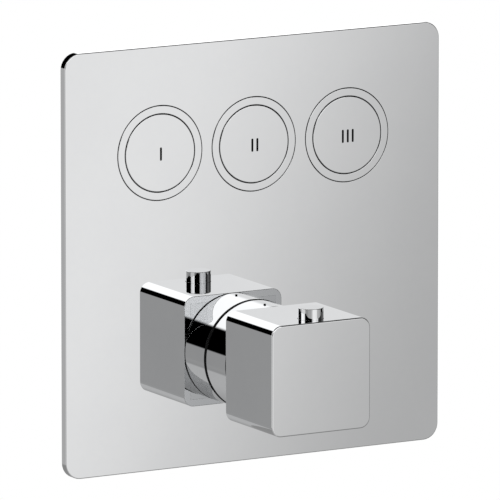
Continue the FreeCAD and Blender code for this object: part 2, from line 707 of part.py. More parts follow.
def make_cartridge_housing():
    """The cartridge's housing: neck, body, hexagonal way for the setting nut and three windows."""
    outline = [
        ("journal_radius + running_gap", NECK_FRONT),
        ("neck_radius", NECK_FRONT),
        ("neck_radius", "head_depth"),
        ("mixer_bore - seat_gap", "head_depth"),
        ("mixer_bore - seat_gap", "mixer_depth"),
        ("shuttle_bore + running_gap", "mixer_depth"),
        ("shuttle_bore + running_gap", "way_end"),
        ("journal_radius + running_gap", "way_end"),
    ]
    shell = turned("housing_shell", outline)
    way = hexagon("nut_way", "way_flats", f"way_end - {JOURNAL_END}", shift(KNOB_AXIS, depth=JOURNAL_END))
    half = "window_height / 2"
    hot = block(
        "hot_window",
        shift(KNOB_AXIS, "-mixer_bore", f"{HOT_PLACE} - supply_window / 2", f"-{half}"),
        shift(KNOB_AXIS, "-shuttle_bore + overcut", f"{HOT_PLACE} + supply_window / 2", half),
    )
    cold = block(
        "cold_window",
        shift(KNOB_AXIS, "shuttle_bore - overcut", f"{COLD_PLACE} - supply_window / 2", f"-{half}"),
        shift(KNOB_AXIS, "mixer_bore", f"{COLD_PLACE} + supply_window / 2", half),
    )
    mixed = block(
        "mixed_opening",
        shift(KNOB_AXIS, f"-{half}", "gallery_place - mixed_window / 2", "shuttle_bore - overcut"),
        shift(KNOB_AXIS, half, "gallery_place + mixed_window / 2", "mixer_bore"),
    )
    return node(cut("housing", shell, [way, hot, cold, mixed]), "cartridge_housing")


def make_cartridge_nut():
    """The hexagonal nut that holds the cartridge in its barrel."""
    front = shift(KNOB_AXIS, depth="head_front")
    bar = hexagon("nut_bar", "nut_flats", "head_depth - head_front", front)
    hole = rod("nut_hole", "neck_radius + seat_gap", "head_depth - head_front", front)
    return node(cut("clamp_nut", bar, [hole]), "cartridge_nut")


def make_spindle():
    """The spindle: spline for the knob, journal, hexagonal thrust collar and screw."""
    journal_start = f"({NECK_FRONT} - journal_lead)"
    collar_start = shift(KNOB_AXIS, depth=JOURNAL_END)
    screw_start = shift(collar_start, depth="flange_depth")
    spline_start = f"{journal_start} - spline_length"
    return node(
        fuse("spindle", [
            spline_bar("spindle_spline", "0", spline_start, "spline_length"),
            rod("journal", "journal_radius", "journal_lead + journal_length", shift(KNOB_AXIS, depth=journal_start)),
            hexagon("thrust_collar", "flange_flats", "flange_depth", collar_start),
            rod("spindle_screw", "screw_radius", "screw_length", screw_start),
        ]),
        "spindle",
    )


def make_setting_train():
    """What the spindle's screw moves along: setting nut, overload spring and the element's plunger."""
    nut_start = shift(KNOB_AXIS, depth="-nut_place")
    bar = hexagon("setting_bar", "way_flats - 2 * running_gap", "nut_length", nut_start)
    thread = rod("setting_thread", "screw_radius + running_gap", "nut_length", nut_start)
    node(cut("setting", bar, [thread]), "setting_nut")
    nut_end = "-nut_place + nut_length"
    spring = coil("overload", "overload_coil", "overload_wire", nut_end, "plunger_place", KNOB_AXIS)
    node(spring, "overload_spring")
    head_start = shift(KNOB_AXIS, depth="plunger_place")
    head = hexagon("plunger_head", "plunger_flats", "plunger_head_depth", head_start)
    pin = rod("plunger_pin", "plunger_radius", "plunger_length", shift(head_start, depth="plunger_head_depth"))
    node(fuse("plunger", [head, pin]), "element_plunger")


def make_element():
    """The wax element, the shuttle that it moves and the return spring."""
    bulb_start = "(element_place + element_guide_length)"
    outline = [
        ("plunger_radius + running_gap", "element_place"),
        ("element_guide", "element_place"),
        ("element_guide", bulb_start),
        ("element_bulb", bulb_start),
        ("element_bulb", "element_end"),
        ("0", "element_end"),
        ("0", bulb_start),
        ("plunger_radius + running_gap", bulb_start),
    ]
    node(turned("element", outline), "wax_element")
    start = shift(KNOB_AXIS, depth="shuttle_place")
    sleeve = rod("sleeve", "shuttle_bore", "shuttle_length", start)
    hollow = rod("sleeve_hollow", "shuttle_bore - shuttle_wall", "shuttle_length", start)
    arm_start = shift(KNOB_AXIS, "-shuttle_bore + overcut", "spider_place")
    arm = block(
        "arm",
        shift(arm_start, up="-spider_width / 2"),
        shift(KNOB_AXIS, "shuttle_bore - overcut", "spider_place + spider_depth", "spider_width / 2"),
    )
    seat_start = shift(KNOB_AXIS, depth="spider_place")
    seat = rod("element_seat", "element_bulb + seat_gap", "spider_depth", seat_start)
    sleeve_with_arm = fuse("shuttle_solid", [cut("sleeve_shell", sleeve, [hollow]), arm])
    node(cut("shuttle_cut", sleeve_with_arm, [seat]), "shuttle")
    spring_start = "spider_place + spider_depth"
    spring = coil("return", "return_coil", "return_wire", spring_start, "mixer_depth", KNOB_AXIS)
    node(spring, "return_spring")


# ---------------------------------------------------------------------------------------------
# Knob, collar and safety stop
# ---------------------------------------------------------------------------------------------


def make_collar():
    """The fixed collar behind the knob: a thin tube with a web that fits on the neck."""
    back = f"{PLATE_FACE} - collar_gap"
    outline = [
        (f"{COLLAR_RADIUS} - collar_wall", COLLAR_FRONT),
        (COLLAR_RADIUS, COLLAR_FRONT),
        (COLLAR_RADIUS, back),
        ("neck_radius + seat_gap", back),
        ("neck_radius + seat_gap", f"{back} - collar_web"),
        (f"{COLLAR_RADIUS} - collar_wall", f"{back} - collar_web"),
    ]
    return node(turned("collar", outline), "index_collar")


def make_stop_ring():
    """The fixed ring on the neck: a safety tooth at the index and a block that ends the travel."""
    ring_start = shift(KNOB_AXIS, depth=NECK_FRONT)
    disc = rod("ring_disc", "ring_radius", "ring_depth", ring_start)
    tooth_low = "(slider_reach + running_gap)"
    tooth_side = "(slider_width / 2 + tooth_gap)"
    tooth = block(
        "safety_tooth",
        shift(ring_start, f"-{tooth_side} - tooth_width", "-tooth_height", tooth_low),
        shift(ring_start, f"-{tooth_side}", "0", f"{tooth_low} + tooth_drop"),
    )
    slider_half_turn = math.degrees(math.asin(number("slider_width / 2 / end_stop_inner")))
    margin = slider_half_turn + number("end_play")
    stop_start = FULL_TURN / 4 - (FULL_TURN - number("hot_turn") - margin)
    stop_span = FULL_TURN - number("hot_turn") - number("cold_turn") - 2 * margin
    toward_front = FreeCAD.Rotation(FreeCAD.Vector(1, 0, 0), 90)
    about_axis = FreeCAD.Rotation(FreeCAD.Vector(0, 0, 1), stop_start)
    sector = rod("sector", "ring_radius", "tooth_height", ring_start, toward_front * about_axis)
    sector.Angle = stop_span
    hollow = rod("sector_hollow", "end_stop_inner", "tooth_height", shift(ring_start, depth="-tooth_height"))
    end_stop = cut("end_stop", sector, [hollow])
    hole = rod("ring_hole", "neck_radius + seat_gap", "ring_depth", ring_start)
    return node(cut("ring", fuse("ring_solid", [disc, tooth, end_stop]), [hole]), "stop_ring")


def make_knob():
    """The hollow knob: rounded square cup with an inner boss, a button hole and a grub screw hole."""
    body = document.addObject("PartDesign::Body", "knob")
    outline = new_sketch(body, "knob_outline", "XZ_Plane", f"-{KNOB_BACK}")
    add_outline(outline, box_corners("knob_width / 2", "knob_width / 2"))
    pad(body, outline, "knob_depth")
    dress_edges(body, "Fillet", "knob_corner", runs_along_y)
    dress_edges(body, "Chamfer", "knob_edge", lies_at_depth(number(KNOB_FRONT)))
    hollow = new_sketch(body, "knob_hollow", "XZ_Plane", f"-{KNOB_BACK}")
    inner = "knob_width / 2 - knob_wall"
    add_outline(hollow, box_corners(inner, inner))
    pocket(body, hollow, "knob_depth - knob_face", along_normal=True)
    boss = new_sketch(body, "knob_boss", "XZ_Plane", f"-{BOSS_FRONT}")
    add_outline(boss, box_corners("boss_width / 2", "boss_width / 2"))
    pad(body, boss, "boss_length", towards_back=True)
    bore = new_sketch(body, "insert_bore", "XZ_Plane", f"-{BOSS_END}")
    add_outline(bore, box_corners("insert_width / 2 + seat_gap", "insert_width / 2 + seat_gap"))
    pocket(body, bore, "insert_length", along_normal=True)
    top = new_sketch(body, "stop_hole", "XY_Plane", "knob_width / 2")
    add_circle(top, "0", STOP_AXIS, "stop_radius + stop_clearance")
    pocket(body, top, "knob_wall")
    bottom = new_sketch(body, "grub_hole", "XY_Plane", "-knob_width / 2")
    add_circle(bottom, "0", f"{KNOB_BACK} - grub_place", "grub_radius + seat_gap")
    pocket(body, bottom, "(knob_width - insert_width) / 2", along_normal=True)
    place(body, KNOB_AXIS)
    return node(body, "knob_body")


def make_knob_fittings():
    """The knob's back cover, its splined insert and its grub screw."""
    half = f"knob_width / 2 - knob_wall - seat_gap"
    body = document.addObject("PartDesign::Body", "back_cover")
    outline = new_sketch(body, "cover_outline", "XZ_Plane", f"-{KNOB_BACK}")
    add_outline(outline, box_corners(half, half))
    add_circle(outline, "0", "0", f"{half} - cover_rim")
    pad(body, outline, "cover_depth")
    place(body, KNOB_AXIS)
    node(body, "knob_back_cover")
    insert_start = f"{BOSS_END} - insert_length"
    bar = square_way("insert_bar", "insert_width", shift(KNOB_AXIS, depth=insert_start), "insert_length", 1)
    hole = spline_bar("insert_spline", "running_gap", insert_start, "insert_length")
    node(cut("insert", bar, [hole]), "splined_insert")
    screw_place = shift(KNOB_AXIS, depth=f"{KNOB_BACK} - grub_place", up="-insert_width / 2 - grub_length")
    screw = rod("grub", "grub_radius", "grub_length", screw_place, Z_TO_Z)
    node(screw, "grub_screw")


def make_safety_stop():
    """The safety stop: button on the knob's top, the slider under it and its spring."""
    head_top = "(knob_width / 2 - knob_wall - slider_play)"
    head_bottom = f"({head_top} - slider_head_depth)"
    axis = shift(KNOB_AXIS, depth=STOP_AXIS)
    button_length = f"knob_width / 2 + stop_height - {head_top}"
    node(rod("stop_cap", "stop_radius", button_length, shift(axis, up=head_top), Z_TO_Z), "stop_button")
    half = "slider_width / 2"
    arm_top = "(slider_reach + slider_arm)"
    pieces = [
        square_way("slider_head_block", "slider_head", shift(axis, up=head_bottom), "slider_head_depth", 2),
        square_way("slider_foot", "slider_width", shift(axis, up=arm_top), f"{head_bottom} - {arm_top}", 2),
        block(
            "slider_arm_block",
            shift(axis, f"-{half}", f"-{half}", "slider_reach"),
            shift(axis, half, f"{ARM_BACK} - ({STOP_AXIS})", arm_top),
        ),
    ]
    node(fuse("slider", pieces), "stop_slider")
    spring = coil("stop_coil_spring", "stop_coil", "stop_wire", "boss_width / 2", "slider_reach", axis, ALONG_Z)
    node(spring, "stop_spring")


# ---------------------------------------------------------------------------------------------
# Build, test and export
# ---------------------------------------------------------------------------------------------


def test_document():
    """Stop if an object failed to compute or a sub-part has no valid solid."""
    for item in document.Objects:
        if {"Invalid", "Error"} & set(item.State):
            raise RuntimeError(f"{item.Label} failed: {item.State}")
    for piece in nodes:
        if piece.Shape.isNull() or not piece.Shape.isValid() or not piece.Shape.Solids:
            raise RuntimeError(f"{piece.Label} has no valid solid")


def export_nodes():
    """Write each sub-part to a file of its own."""
    os.makedirs("parts", exist_ok=True)
    for piece in nodes:
        piece.Shape.exportStep(os.path.join("parts", f"{piece.Label}.step"))


sizes = fill_sheet()
make_cover_plate()
make_plate_seal()
cartridges = []
for number_of_button, button_axis in enumerate(BUTTON_AXES, start=1):
    make_button(number_of_button, button_axis)
    cartridges.append(make_shutoff_cartridge(number_of_button, button_axis))
node(group("cartridges", cartridges), "shutoff_cartridges")
make_button_rings()
make_manifold()
make_mixer()
make_transfer_tube()
make_check_valves()
make_bracket()
make_cartridge_housing()
make_cartridge_nut()
make_spindle()
make_setting_train()
make_element()
make_collar()
make_stop_ring()
make_knob()
make_knob_fittings()
make_safety_stop()
document.recompute()
test_document()
export_nodes()
print(f"{len(nodes)} sub-parts, {sum(len(piece.Shape.Solids) for piece in nodes)} solids")
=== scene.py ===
"""The look of a concealed thermostatic shower valve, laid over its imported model.

Frame: +X right, +Z up and -Y out of the wall.  Shapes are worked out in millimetres and angles in
degrees, and `Shell.build` turns them into a piece in metres.
"""

import json
import logging
import math
from dataclasses import dataclass, field, replace
from enum import Enum
from typing import Sequence

import bmesh
import bpy
import numpy as np
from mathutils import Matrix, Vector
from mathutils.geometry import delaunay_2d_cdt

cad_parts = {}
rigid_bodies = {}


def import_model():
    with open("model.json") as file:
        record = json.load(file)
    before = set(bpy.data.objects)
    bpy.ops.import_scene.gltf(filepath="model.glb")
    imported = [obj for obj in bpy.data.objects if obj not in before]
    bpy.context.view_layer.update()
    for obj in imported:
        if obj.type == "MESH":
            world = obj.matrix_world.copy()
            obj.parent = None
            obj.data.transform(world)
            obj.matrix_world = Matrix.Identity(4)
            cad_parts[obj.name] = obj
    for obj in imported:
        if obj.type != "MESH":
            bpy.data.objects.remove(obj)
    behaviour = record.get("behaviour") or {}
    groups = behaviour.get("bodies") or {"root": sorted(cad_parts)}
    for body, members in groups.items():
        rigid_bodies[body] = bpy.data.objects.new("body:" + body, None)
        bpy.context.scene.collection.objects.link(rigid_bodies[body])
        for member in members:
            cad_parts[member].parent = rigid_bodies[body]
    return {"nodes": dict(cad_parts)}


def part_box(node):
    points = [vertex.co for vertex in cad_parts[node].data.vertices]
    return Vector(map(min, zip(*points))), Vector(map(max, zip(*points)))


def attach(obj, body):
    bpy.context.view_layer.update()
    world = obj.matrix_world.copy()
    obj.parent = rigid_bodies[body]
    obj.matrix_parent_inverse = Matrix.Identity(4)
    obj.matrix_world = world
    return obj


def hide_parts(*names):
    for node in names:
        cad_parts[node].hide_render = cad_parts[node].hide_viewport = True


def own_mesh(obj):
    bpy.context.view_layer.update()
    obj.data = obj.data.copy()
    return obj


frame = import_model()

LOG = logging.getLogger("scene")

Array = np.ndarray
Numbers = Sequence[float]
Pair = tuple[float, float]
Triple = tuple[float, float, float]
Socket = bpy.types.NodeSocket
Value = Socket | float

MM = 0.001
FULL = 2.0 * math.pi
# Distance of a guard point from its arc, and the smallest radius of a corner.
GUARD = 0.06
# Steps round circles, from large to small, and along each turn of a coil.
LARGE_ROUND, ROUND, SMALL_ROUND, SCREW_ROUND = 192, 144, 72, 48
TURN_STEPS = 40
# Edges sharper than this are shaded as edges, in smooth and in faceted pieces.
SMOOTH_ANGLE = 32.0
FACETED_ANGLE = 1.0
SAME_POINT = 1e-6
WHITE = (1.0, 1.0, 1.0, 1.0)
# The two axes in the plane of the wall.
FLAT = [0, 2]
BUTTONS = (1, 2, 3)


class Axis(Enum):
    """An axis of the frame, with the two axes that lie across it."""

    X = (0, 1, 2)
    Y = (1, 0, 2)
    Z = (2, 0, 1)


class Grain(Enum):
    """The kinds of fine relief that a finish can have."""

    POLISHED = "polished"
    CAST = "cast"
    TURNED = "turned"
    BRUSHED = "brushed"
    MOULDED = "moulded"
    FOAM = "foam"


# ---- Outlines ----


def unit(vector: Array) -> Array:
    """Scales a vector to length one."""
    return vector / np.linalg.norm(vector)


def circle(centre: Numbers, radius: float, steps: int = ROUND) -> Array:
    """Makes a circle as a closed loop of points, one a row, round a place in a plane."""
    turn = np.linspace(0.0, FULL, steps, endpoint=False)
    return np.asarray(centre) + radius * np.stack([np.cos(turn), np.sin(turn)], axis=1)


def band(first: float, second: float, start: float, end: float) -> Array:
    """Gives an oblong's corners, from `first` to `second` at its start and back at its end."""
    return np.array([(first, start), (second, start), (second, end), (first, end)], float)


def rounded(corners: Sequence[Numbers], radii: Numbers, steps: int = 6) -> Array:
    """Rounds the corners of an outline and puts a guard point on the straight beside each arc.

    The guard points keep the flat beside a rounded edge flat when it is shaded smooth.

    Args:
        corners: the corners, in order.
        radii: one radius a corner, where zero leaves it sharp.  The ends of an open outline are
            sharp, and a closed one joins its last corner to its first.
        steps: chords in each arc.

    Returns:
        An array of points, one a row.
    """
    places = np.asarray(corners, float)
    parts = []
    for index, radius in enumerate(radii):
        here = places[index]
        if radius == 0:
            parts.append(here[None])
            continue
        toward = unit(places[index - 1] - here)
        away = unit(places[(index + 1) % len(places)] - here)
        half_angle = math.acos(float(np.clip(toward @ away, -1.0, 1.0))) / 2.0
        reach = radius / math.tan(half_angle)
        centre = here + unit(toward + away) * radius / math.sin(half_angle)
        first, last = here + toward * reach, here + away * reach
        start, end = (math.atan2(*(point - centre)[::-1]) for point in (first, last))
        sweep = (end - start + math.pi) % FULL - math.pi
        turn = start + sweep * np.linspace(0.0, 1.0, steps + 1)
        curve = centre + radius * np.stack([np.cos(turn), np.sin(turn)], axis=1)
        parts += [(first + toward * GUARD)[None], curve, (last + away * GUARD)[None]]
    return np.vstack(parts)


def box_loop(half: Numbers, radius: float = 0.0, centre: Numbers = (0.0, 0.0)) -> Array:
    """Makes a rounded rectangle as an anticlockwise loop, from half of its width and height."""
    wide, high = half
    corners = np.array([(wide, -high), (wide, high), (-wide, high), (-wide, -high)])
    return rounded(corners + np.asarray(centre), [radius] * 4, 8)


def inside(loop: Array, points: Array) -> Array:
    """Tells, by one truth value a point, which points lie inside a convex loop."""
    edge = np.roll(loop, -1, axis=0) - loop
    offset = points[:, None] - loop[None]
    side = edge[:, 0] * offset[:, :, 1] - edge[:, 1] * offset[:, :, 0]
    return np.all(side > 0, axis=1) | np.all(side < 0, axis=1)


# ---- Surfaces ----


def stacked(loops: Sequence[Array], levels: Numbers, axis: Axis = Axis.Y) -> Array:
    """Lays loops across an axis at their levels on it, as points in rows by columns by three."""
    along, *across = axis.value
    rows = np.empty((len(loops), len(loops[0]), 3))
    rows[:, :, across] = loops
    rows[:, :, along] = np.reshape(levels, (-1, 1))
    return rows


def placed(name: str, data: bpy.types.ID) -> bpy.types.Object:
    """Makes an object from its data and puts it in the scene."""
    thing = bpy.data.objects.new(name, data)
    bpy.context.scene.collection.objects.link(thing)
    return thing


@dataclass
class Shell:
    """A closed surface that grows patch by patch and then becomes a piece of the scene."""

    points: list[Array] = field(default_factory=list)
    faces: list[list[int]] = field(default_factory=list)
    count: int = 0

    def _take(self, points: Array, faces: Array) -> None:
        """Adds points, and faces as rows of indices into them."""
        self.faces += (faces + self.count).tolist()
        self.points.append(points)
        self.count += len(points)

    def grid(self, rows: Array, wrap_rows: bool = False, wrap_columns: bool = False) -> None:
        """Adds a sheet of four-sided faces.

        Args:
            rows: points as rows by columns by three.
            wrap_rows: the last row joins the first.
            wrap_columns: the last column joins the first.
        """
        tall, wide = rows.shape[:2]
        index = np.arange(tall * wide).reshape(tall, wide)
        if wrap_rows:
            index = np.vstack([index, index[:1]])
        if wrap_columns:
            index = np.hstack([index, index[:, :1]])
        ends = (index[:-1, :-1], index[1:, :-1], index[1:, 1:], index[:-1, 1:])
        self._take(rows.reshape(-1, 3), np.stack(ends, axis=-1).reshape(-1, 4))

    def lathe(
        self, profile: Array, centre: Numbers, axis: Axis = Axis.Y,
        closed: bool = False, steps: int = ROUND,
    ) -> None:
        """Turns a profile about an axis.

        Args:
            profile: rows of radius and place along the axis.
            centre: the axis's place in the plane across it.
            axis: the direction of the axis.
            closed: the profile's end joins its start.
            steps: faces round the axis.
        """
        loops = [circle(centre, radius, steps) for radius in profile[:, 0]]
        self.grid(stacked(loops, profile[:, 1], axis), closed, True)

    def panel(self, axis: Axis, depth: float, outer: Array, holes: Sequence[Array] = ()) -> None:
        """Fills a flat region.

        Args:
            axis: the direction that the panel faces along.
            depth: the panel's place on that axis.
            outer: the loop round it.
            holes: convex loops that stay open.
        """
        places, edges = [], []
        for loop in (outer, *holes):
            start = len(places)
            places += map(Vector, loop)
            rim = range(start, len(places))
            edges += zip(rim, (*rim[1:], start))
        flat, _, triangles = delaunay_2d_cdt(places, edges, [], 1, SAME_POINT)[:3]
        flat, triangles = np.array(flat, float), np.array(triangles)
        for hole in holes:
            triangles = triangles[~inside(hole, flat[triangles].mean(axis=1))]
        self._take(stacked([flat], [depth], axis)[0], triangles)

    def sections(
        self, profile: Array, half: Numbers, radius: float, centre: Numbers, closed: bool = False
    ) -> Array:
        """Lays rounded rectangles behind one another along Y and joins them to a sheet.

        Args:
            profile: rows of inset from the outline and place along Y.
            half: half of the outline's width and height.
            radius: the radius of the outline's corners.
            centre: the outline's middle.
            closed: the profile's end joins its start.

        Returns:
            Points as rows by columns by three.
        """
        loops = [
            box_loop(np.asarray(half) - inset, max(radius - inset, GUARD), centre)
            for inset in profile[:, 0]
        ]
        rows = stacked(loops, profile[:, 1])
        self.grid(rows, closed, True)
        return rows

    def walls(
        self, low: Numbers, high: Numbers, holes: dict | None = None, left_out: Sequence = ()
    ) -> None:
        """Adds the flat sides of a box.

        Args:
            low: the box's lowest corner.
            high: the box's highest corner.
            holes: loops that stay open, by axis and end, such as (Axis.Z, 1) for the top.
            left_out: sides that aren't made, written in the same way.
        """
        ends = np.array([low, high], float)
        for axis in Axis:
            along, *across = axis.value
            middle = ends[:, across].mean(axis=0)
            outer = box_loop(ends[1, across] - middle, 0.0, middle)
            for side in ((axis, 0), (axis, 1)):
                if side not in left_out:
                    self.panel(axis, ends[side[1], along], outer, (holes or {}).get(side, ()))

    def coil(
        self, section: Array, radius: float, start: float, end: float, turns: float,
        centre: Numbers, axis: Axis, dead: float = 0.0,
    ) -> None:
        """Winds a section round an axis.

        Args:
            section: the wire's outline as rows of radial and axial offset.
            radius: the coil's mean radius.
            start: where the coil's outside starts on the axis.
            end: where it ends.
            turns: how many turns it has.
            centre: the axis's place in the plane across it.
            axis: the direction of the axis.
            dead: turns at each end that lie against one another.
        """
        rim = np.abs(section[:, 1]).max()
        turn = np.linspace(0.0, turns, int(turns * TURN_STEPS) + 1)
        marks, levels = [0.0, turns], [start + rim, end - rim]
        if dead:
            rise = dead * (2.0 * rim * np.sign(end - start))
            marks[1:1] = [dead, turns - dead]
            levels[1:1] = [levels[0] + rise, levels[1] - rise]
        along, *across = axis.value
        arms = np.stack([np.cos(FULL * turn), np.sin(FULL * turn)], axis=1)[:, None]
        rows = np.empty((len(turn), len(section), 3))
        rows[:, :, along] = np.interp(turn, marks, levels)[:, None] + section[:, 1]
        rows[:, :, across] = np.asarray(centre) + arms * (radius + section[:, :1])
        ends = np.broadcast_to(rows.mean(axis=1, keepdims=True), rows.shape)
        self.grid(np.concatenate([ends[:1], rows, ends[-1:]]), False, True)

    def prism(self, loop: Array, start: float, end: float) -> None:
        """Adds a flat-ended bar along Y, with a convex outline."""
        self.grid(stacked([loop, loop], [start, end]), False, True)
        for depth in (start, end):
            self.panel(Axis.Y, depth, loop)

    def build(
        self, name: str, finish: "Finish", body: str, replaced: Sequence[str] = (),
        smooth: bool = True,
    ) -> bpy.types.Object:
        """Makes the piece, and fits it into the frame.

        Args:
            name: the piece's name.
            finish: what it is made of.
            body: the body that it rides on.
            replaced: the nodes of the frame that it stands for.
            smooth: shaded smooth except over sharp edges.

        Returns:
            The piece's object.
        """
        mesh = bpy.data.meshes.new(name)
        mesh.from_pydata((np.vstack(self.points) * MM).tolist(), [], self.faces)
        work = bmesh.new()
        work.from_mesh(mesh)
        bmesh.ops.remove_doubles(work, verts=work.verts, dist=SAME_POINT)
        bmesh.ops.recalc_face_normals(work, faces=work.faces)
        if open_edges := sum(not edge.is_manifold for edge in work.edges):
            LOG.warning("%s has %d open edges", name, open_edges)
        work.to_mesh(mesh)
        work.free()
        mesh.shade_smooth()
        mesh.set_sharp_from_angle(angle=math.radians(SMOOTH_ANGLE if smooth else FACETED_ANGLE))
        mesh.materials.append(finish.material())
        piece = placed(name, mesh)
        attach(piece, body)
        if replaced:
            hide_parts(*replaced)
        return piece


# ---- Materials ----


@dataclass
class Graph:
    """A node tree with short calls to fill it."""

    tree: bpy.types.NodeTree

    def fill(self, inputs: bpy.types.NodeInputs, values: dict) -> None:
        """Links an output to each input, or sets it to a value, by its name or number."""
        for key, value in values.items():
            if isinstance(value, Socket):
                self.tree.links.new(value, inputs[key])
            else:
                inputs[key].default_value = value

    def add(self, kind: str, sockets: dict | None = None, **settings) -> bpy.types.Node:
        """Adds a node.

        Args:
            kind: the node's type, without the word ShaderNode.
            sockets: what goes into its inputs, by name or number: a socket or a value.
            **settings: its properties.

        Returns:
            The node.
        """
        node = self.tree.nodes.new(kind if kind.startswith("Node") else f"ShaderNode{kind}")
        for key, value in settings.items():
            setattr(node, key, value)
        self.fill(node.inputs, sockets or {})
        return node

    def math(self, operation: str, *values: Value) -> Socket:
        """Works out a number from sockets or numbers, by an operation of the Math node."""
        return self.add("Math", dict(enumerate(values)), operation=operation).outputs[0]

    def mix(self, share: Value, first: Value, second: Value) -> Socket:
        """Mixes two sockets or numbers, by the share of the second."""
        return self.add("Mix", {0: share, 2: first, 3: second}, data_type="FLOAT").outputs[0]

    def ramp(self, value: Socket, start: Value, end: Value, change: float = 1.0) -> Socket:
        """Goes smoothly from zero to `change`, while the value goes from its start to its end."""
        sockets = {"Value": value, "From Min": start, "From Max": end, "To Max": change}
        return self.add("MapRange", sockets, interpolation_type="SMOOTHSTEP").outputs[0]


GRAIN_INPUTS = (("Scale", 1.0), ("Stretch", 1.0), ("Relief", 0.1), ("Edge", 0.0003))
# How much finer the second pattern is than the first, and its share in the height.
FINER = 9.0
POLISHED_SHARE, USUAL_SHARE = 0.35, 0.7
# The spans over which a cell's wall and the mask rise, and the height of the relief in metres.
CELL_SPAN = (0.05, 0.75)
MASK_SPAN = (0.3, 0.7)
BUMP_HEIGHT = 0.0004


def grain_group(grain: Grain) -> bpy.types.NodeTree:
    """Makes the shader group of one kind of grain, or finds it.

    The group puts out a mask from zero to one and a normal.

    Args:
        grain: the kind of grain.

    Returns:
        The group's node tree.
    """
    name = f"grain_{grain.value}"
    if name in bpy.data.node_groups:
        return bpy.data.node_groups[name]
    tree = bpy.data.node_groups.new(name, "ShaderNodeTree")
    for label, value in GRAIN_INPUTS:
        socket = tree.interface.new_socket(label, in_out="INPUT", socket_type="NodeSocketFloat")
        socket.default_value = value
    tree.interface.new_socket("Mask", in_out="OUTPUT", socket_type="NodeSocketFloat")
    tree.interface.new_socket("Normal", in_out="OUTPUT", socket_type="NodeSocketVector")
    graph = Graph(tree)
    given = graph.add("NodeGroupInput").outputs
    place = graph.add("TexCoord").outputs["Object"]
    if grain is not Grain.TURNED:
        stretch = graph.add("CombineXYZ", {0: 1.0, 1: given["Stretch"], 2: 1.0}).outputs[0]
        place = graph.add("VectorMath", {0: place, 1: stretch}, operation="MULTIPLY").outputs[0]
    sockets = {"Vector": place, "Scale": given["Scale"], "Detail": 4.0}
    broad = graph.add("TexNoise", sockets).outputs["Fac"]
    sockets = {"Vector": place, "Scale": graph.math("MULTIPLY", given["Scale"], FINER)}
    if grain in (Grain.CAST, Grain.FOAM):
        cells = graph.add("TexVoronoi", {**sockets, "Randomness": 1.0})
        fine = graph.ramp(cells.outputs["Distance"], *CELL_SPAN)
    else:
        fine = graph.add("TexNoise", {**sockets, "Detail": 2.0}).outputs["Fac"]
    height = graph.mix(POLISHED_SHARE if grain is Grain.POLISHED else USUAL_SHARE, broad, fine)
    edge = graph.add("Bevel", {"Radius": given["Edge"]}, samples=4).outputs[0]
    sockets = {"Strength": given["Relief"], "Distance": BUMP_HEIGHT, "Height": height}
    bump = graph.add("Bump", {**sockets, "Normal": edge})
    mask = graph.ramp(height, *MASK_SPAN)
    graph.add("NodeGroupOutput", {"Mask": mask, "Normal": bump.outputs[0]})
    return tree


@dataclass(frozen=True)
class Finish:
    """What a piece is made of."""

    name: str
    slot: str
    colour: Triple
    second: Triple
    metallic: float
    roughness: Pair
    grain: Grain
    scale: float
    relief: float
    stretch: float = 1.0
    edge: float = 0.0003
    shine: float = 0.5

    def material(self) -> bpy.types.Material:
        """Makes the finish's material, or finds it."""
        if found := bpy.data.materials.get(self.name):
            return found
        material = bpy.data.materials.new(self.name)
        material.use_nodes = True
        graph = Graph(material.node_tree)
        sockets = {label: getattr(self, label.lower()) for label, _ in GRAIN_INPUTS}
        grain = graph.add("Group", sockets, node_tree=grain_group(self.grain)).outputs
        colours = {0: grain["Mask"], 6: (*self.colour, 1.0), 7: (*self.second, 1.0)}
        values = {
            "Base Color": graph.add("Mix", colours, data_type="RGBA").outputs[2],
            "Metallic": self.metallic,
            "Roughness": graph.mix(grain["Mask"], *self.roughness),
            "Specular IOR Level": self.shine,
        }
        if self.relief:
            values["Normal"] = grain["Normal"]
        graph.fill(material.node_tree.nodes["Principled BSDF"].inputs, values)
        material.diffuse_color = (*self.colour, 1.0)
        return material


CHROME = Finish(
    "chrome_plate", "chrome", (0.76, 0.765, 0.77), (0.745, 0.75, 0.757), 1.0, (0.0, 0.004),
    Grain.POLISHED, 35.0, 0.0,
)
BRIGHT_CHROME = replace(
    CHROME, name="bright_chrome_plate", colour=(0.8, 0.805, 0.81), second=(0.785, 0.79, 0.797)
)
CAST_BRASS = Finish(
    "cast_brass", "brass", (0.63, 0.47, 0.25), (0.72, 0.57, 0.34), 1.0, (0.34, 0.5),
    Grain.CAST, 220.0, 0.55, edge=0.0012,
)
TURNED_BRASS = Finish(
    "turned_brass", "brass", (0.78, 0.62, 0.36), (0.72, 0.56, 0.31), 1.0, (0.2, 0.3),
    Grain.TURNED, 500.0, 0.08, edge=0.0004,
)
BRUSHED_STEEL = Finish(
    "brushed_steel", "steel", (0.6, 0.61, 0.62), (0.68, 0.68, 0.69), 1.0, (0.26, 0.4),
    Grain.BRUSHED, 260.0, 0.12, stretch=0.03,
)
SPRING_STEEL = Finish(
    "spring_steel", "steel", (0.62, 0.63, 0.64), (0.55, 0.56, 0.57), 1.0, (0.2, 0.32),
    Grain.TURNED, 700.0, 0.1, edge=0.00002,
)
RUBBER = Finish(
    "rubber", "rubber", (0.03, 0.03, 0.032), (0.055, 0.055, 0.058), 0.0, (0.5, 0.68),
    Grain.MOULDED, 400.0, 0.2,
)
# Near-black finish of the rings put in the gaps round the caps, the rings and the collar: painted
# shade standing in for the shade in those gaps.
GAP_SHADE_BLACK = Finish(
    "gap_shade_black", "rubber", (0.004, 0.004, 0.004), (0.008, 0.008, 0.008), 0.0, (0.6, 0.75),
    Grain.MOULDED, 400.0, 0.05, shine=0.1,
)
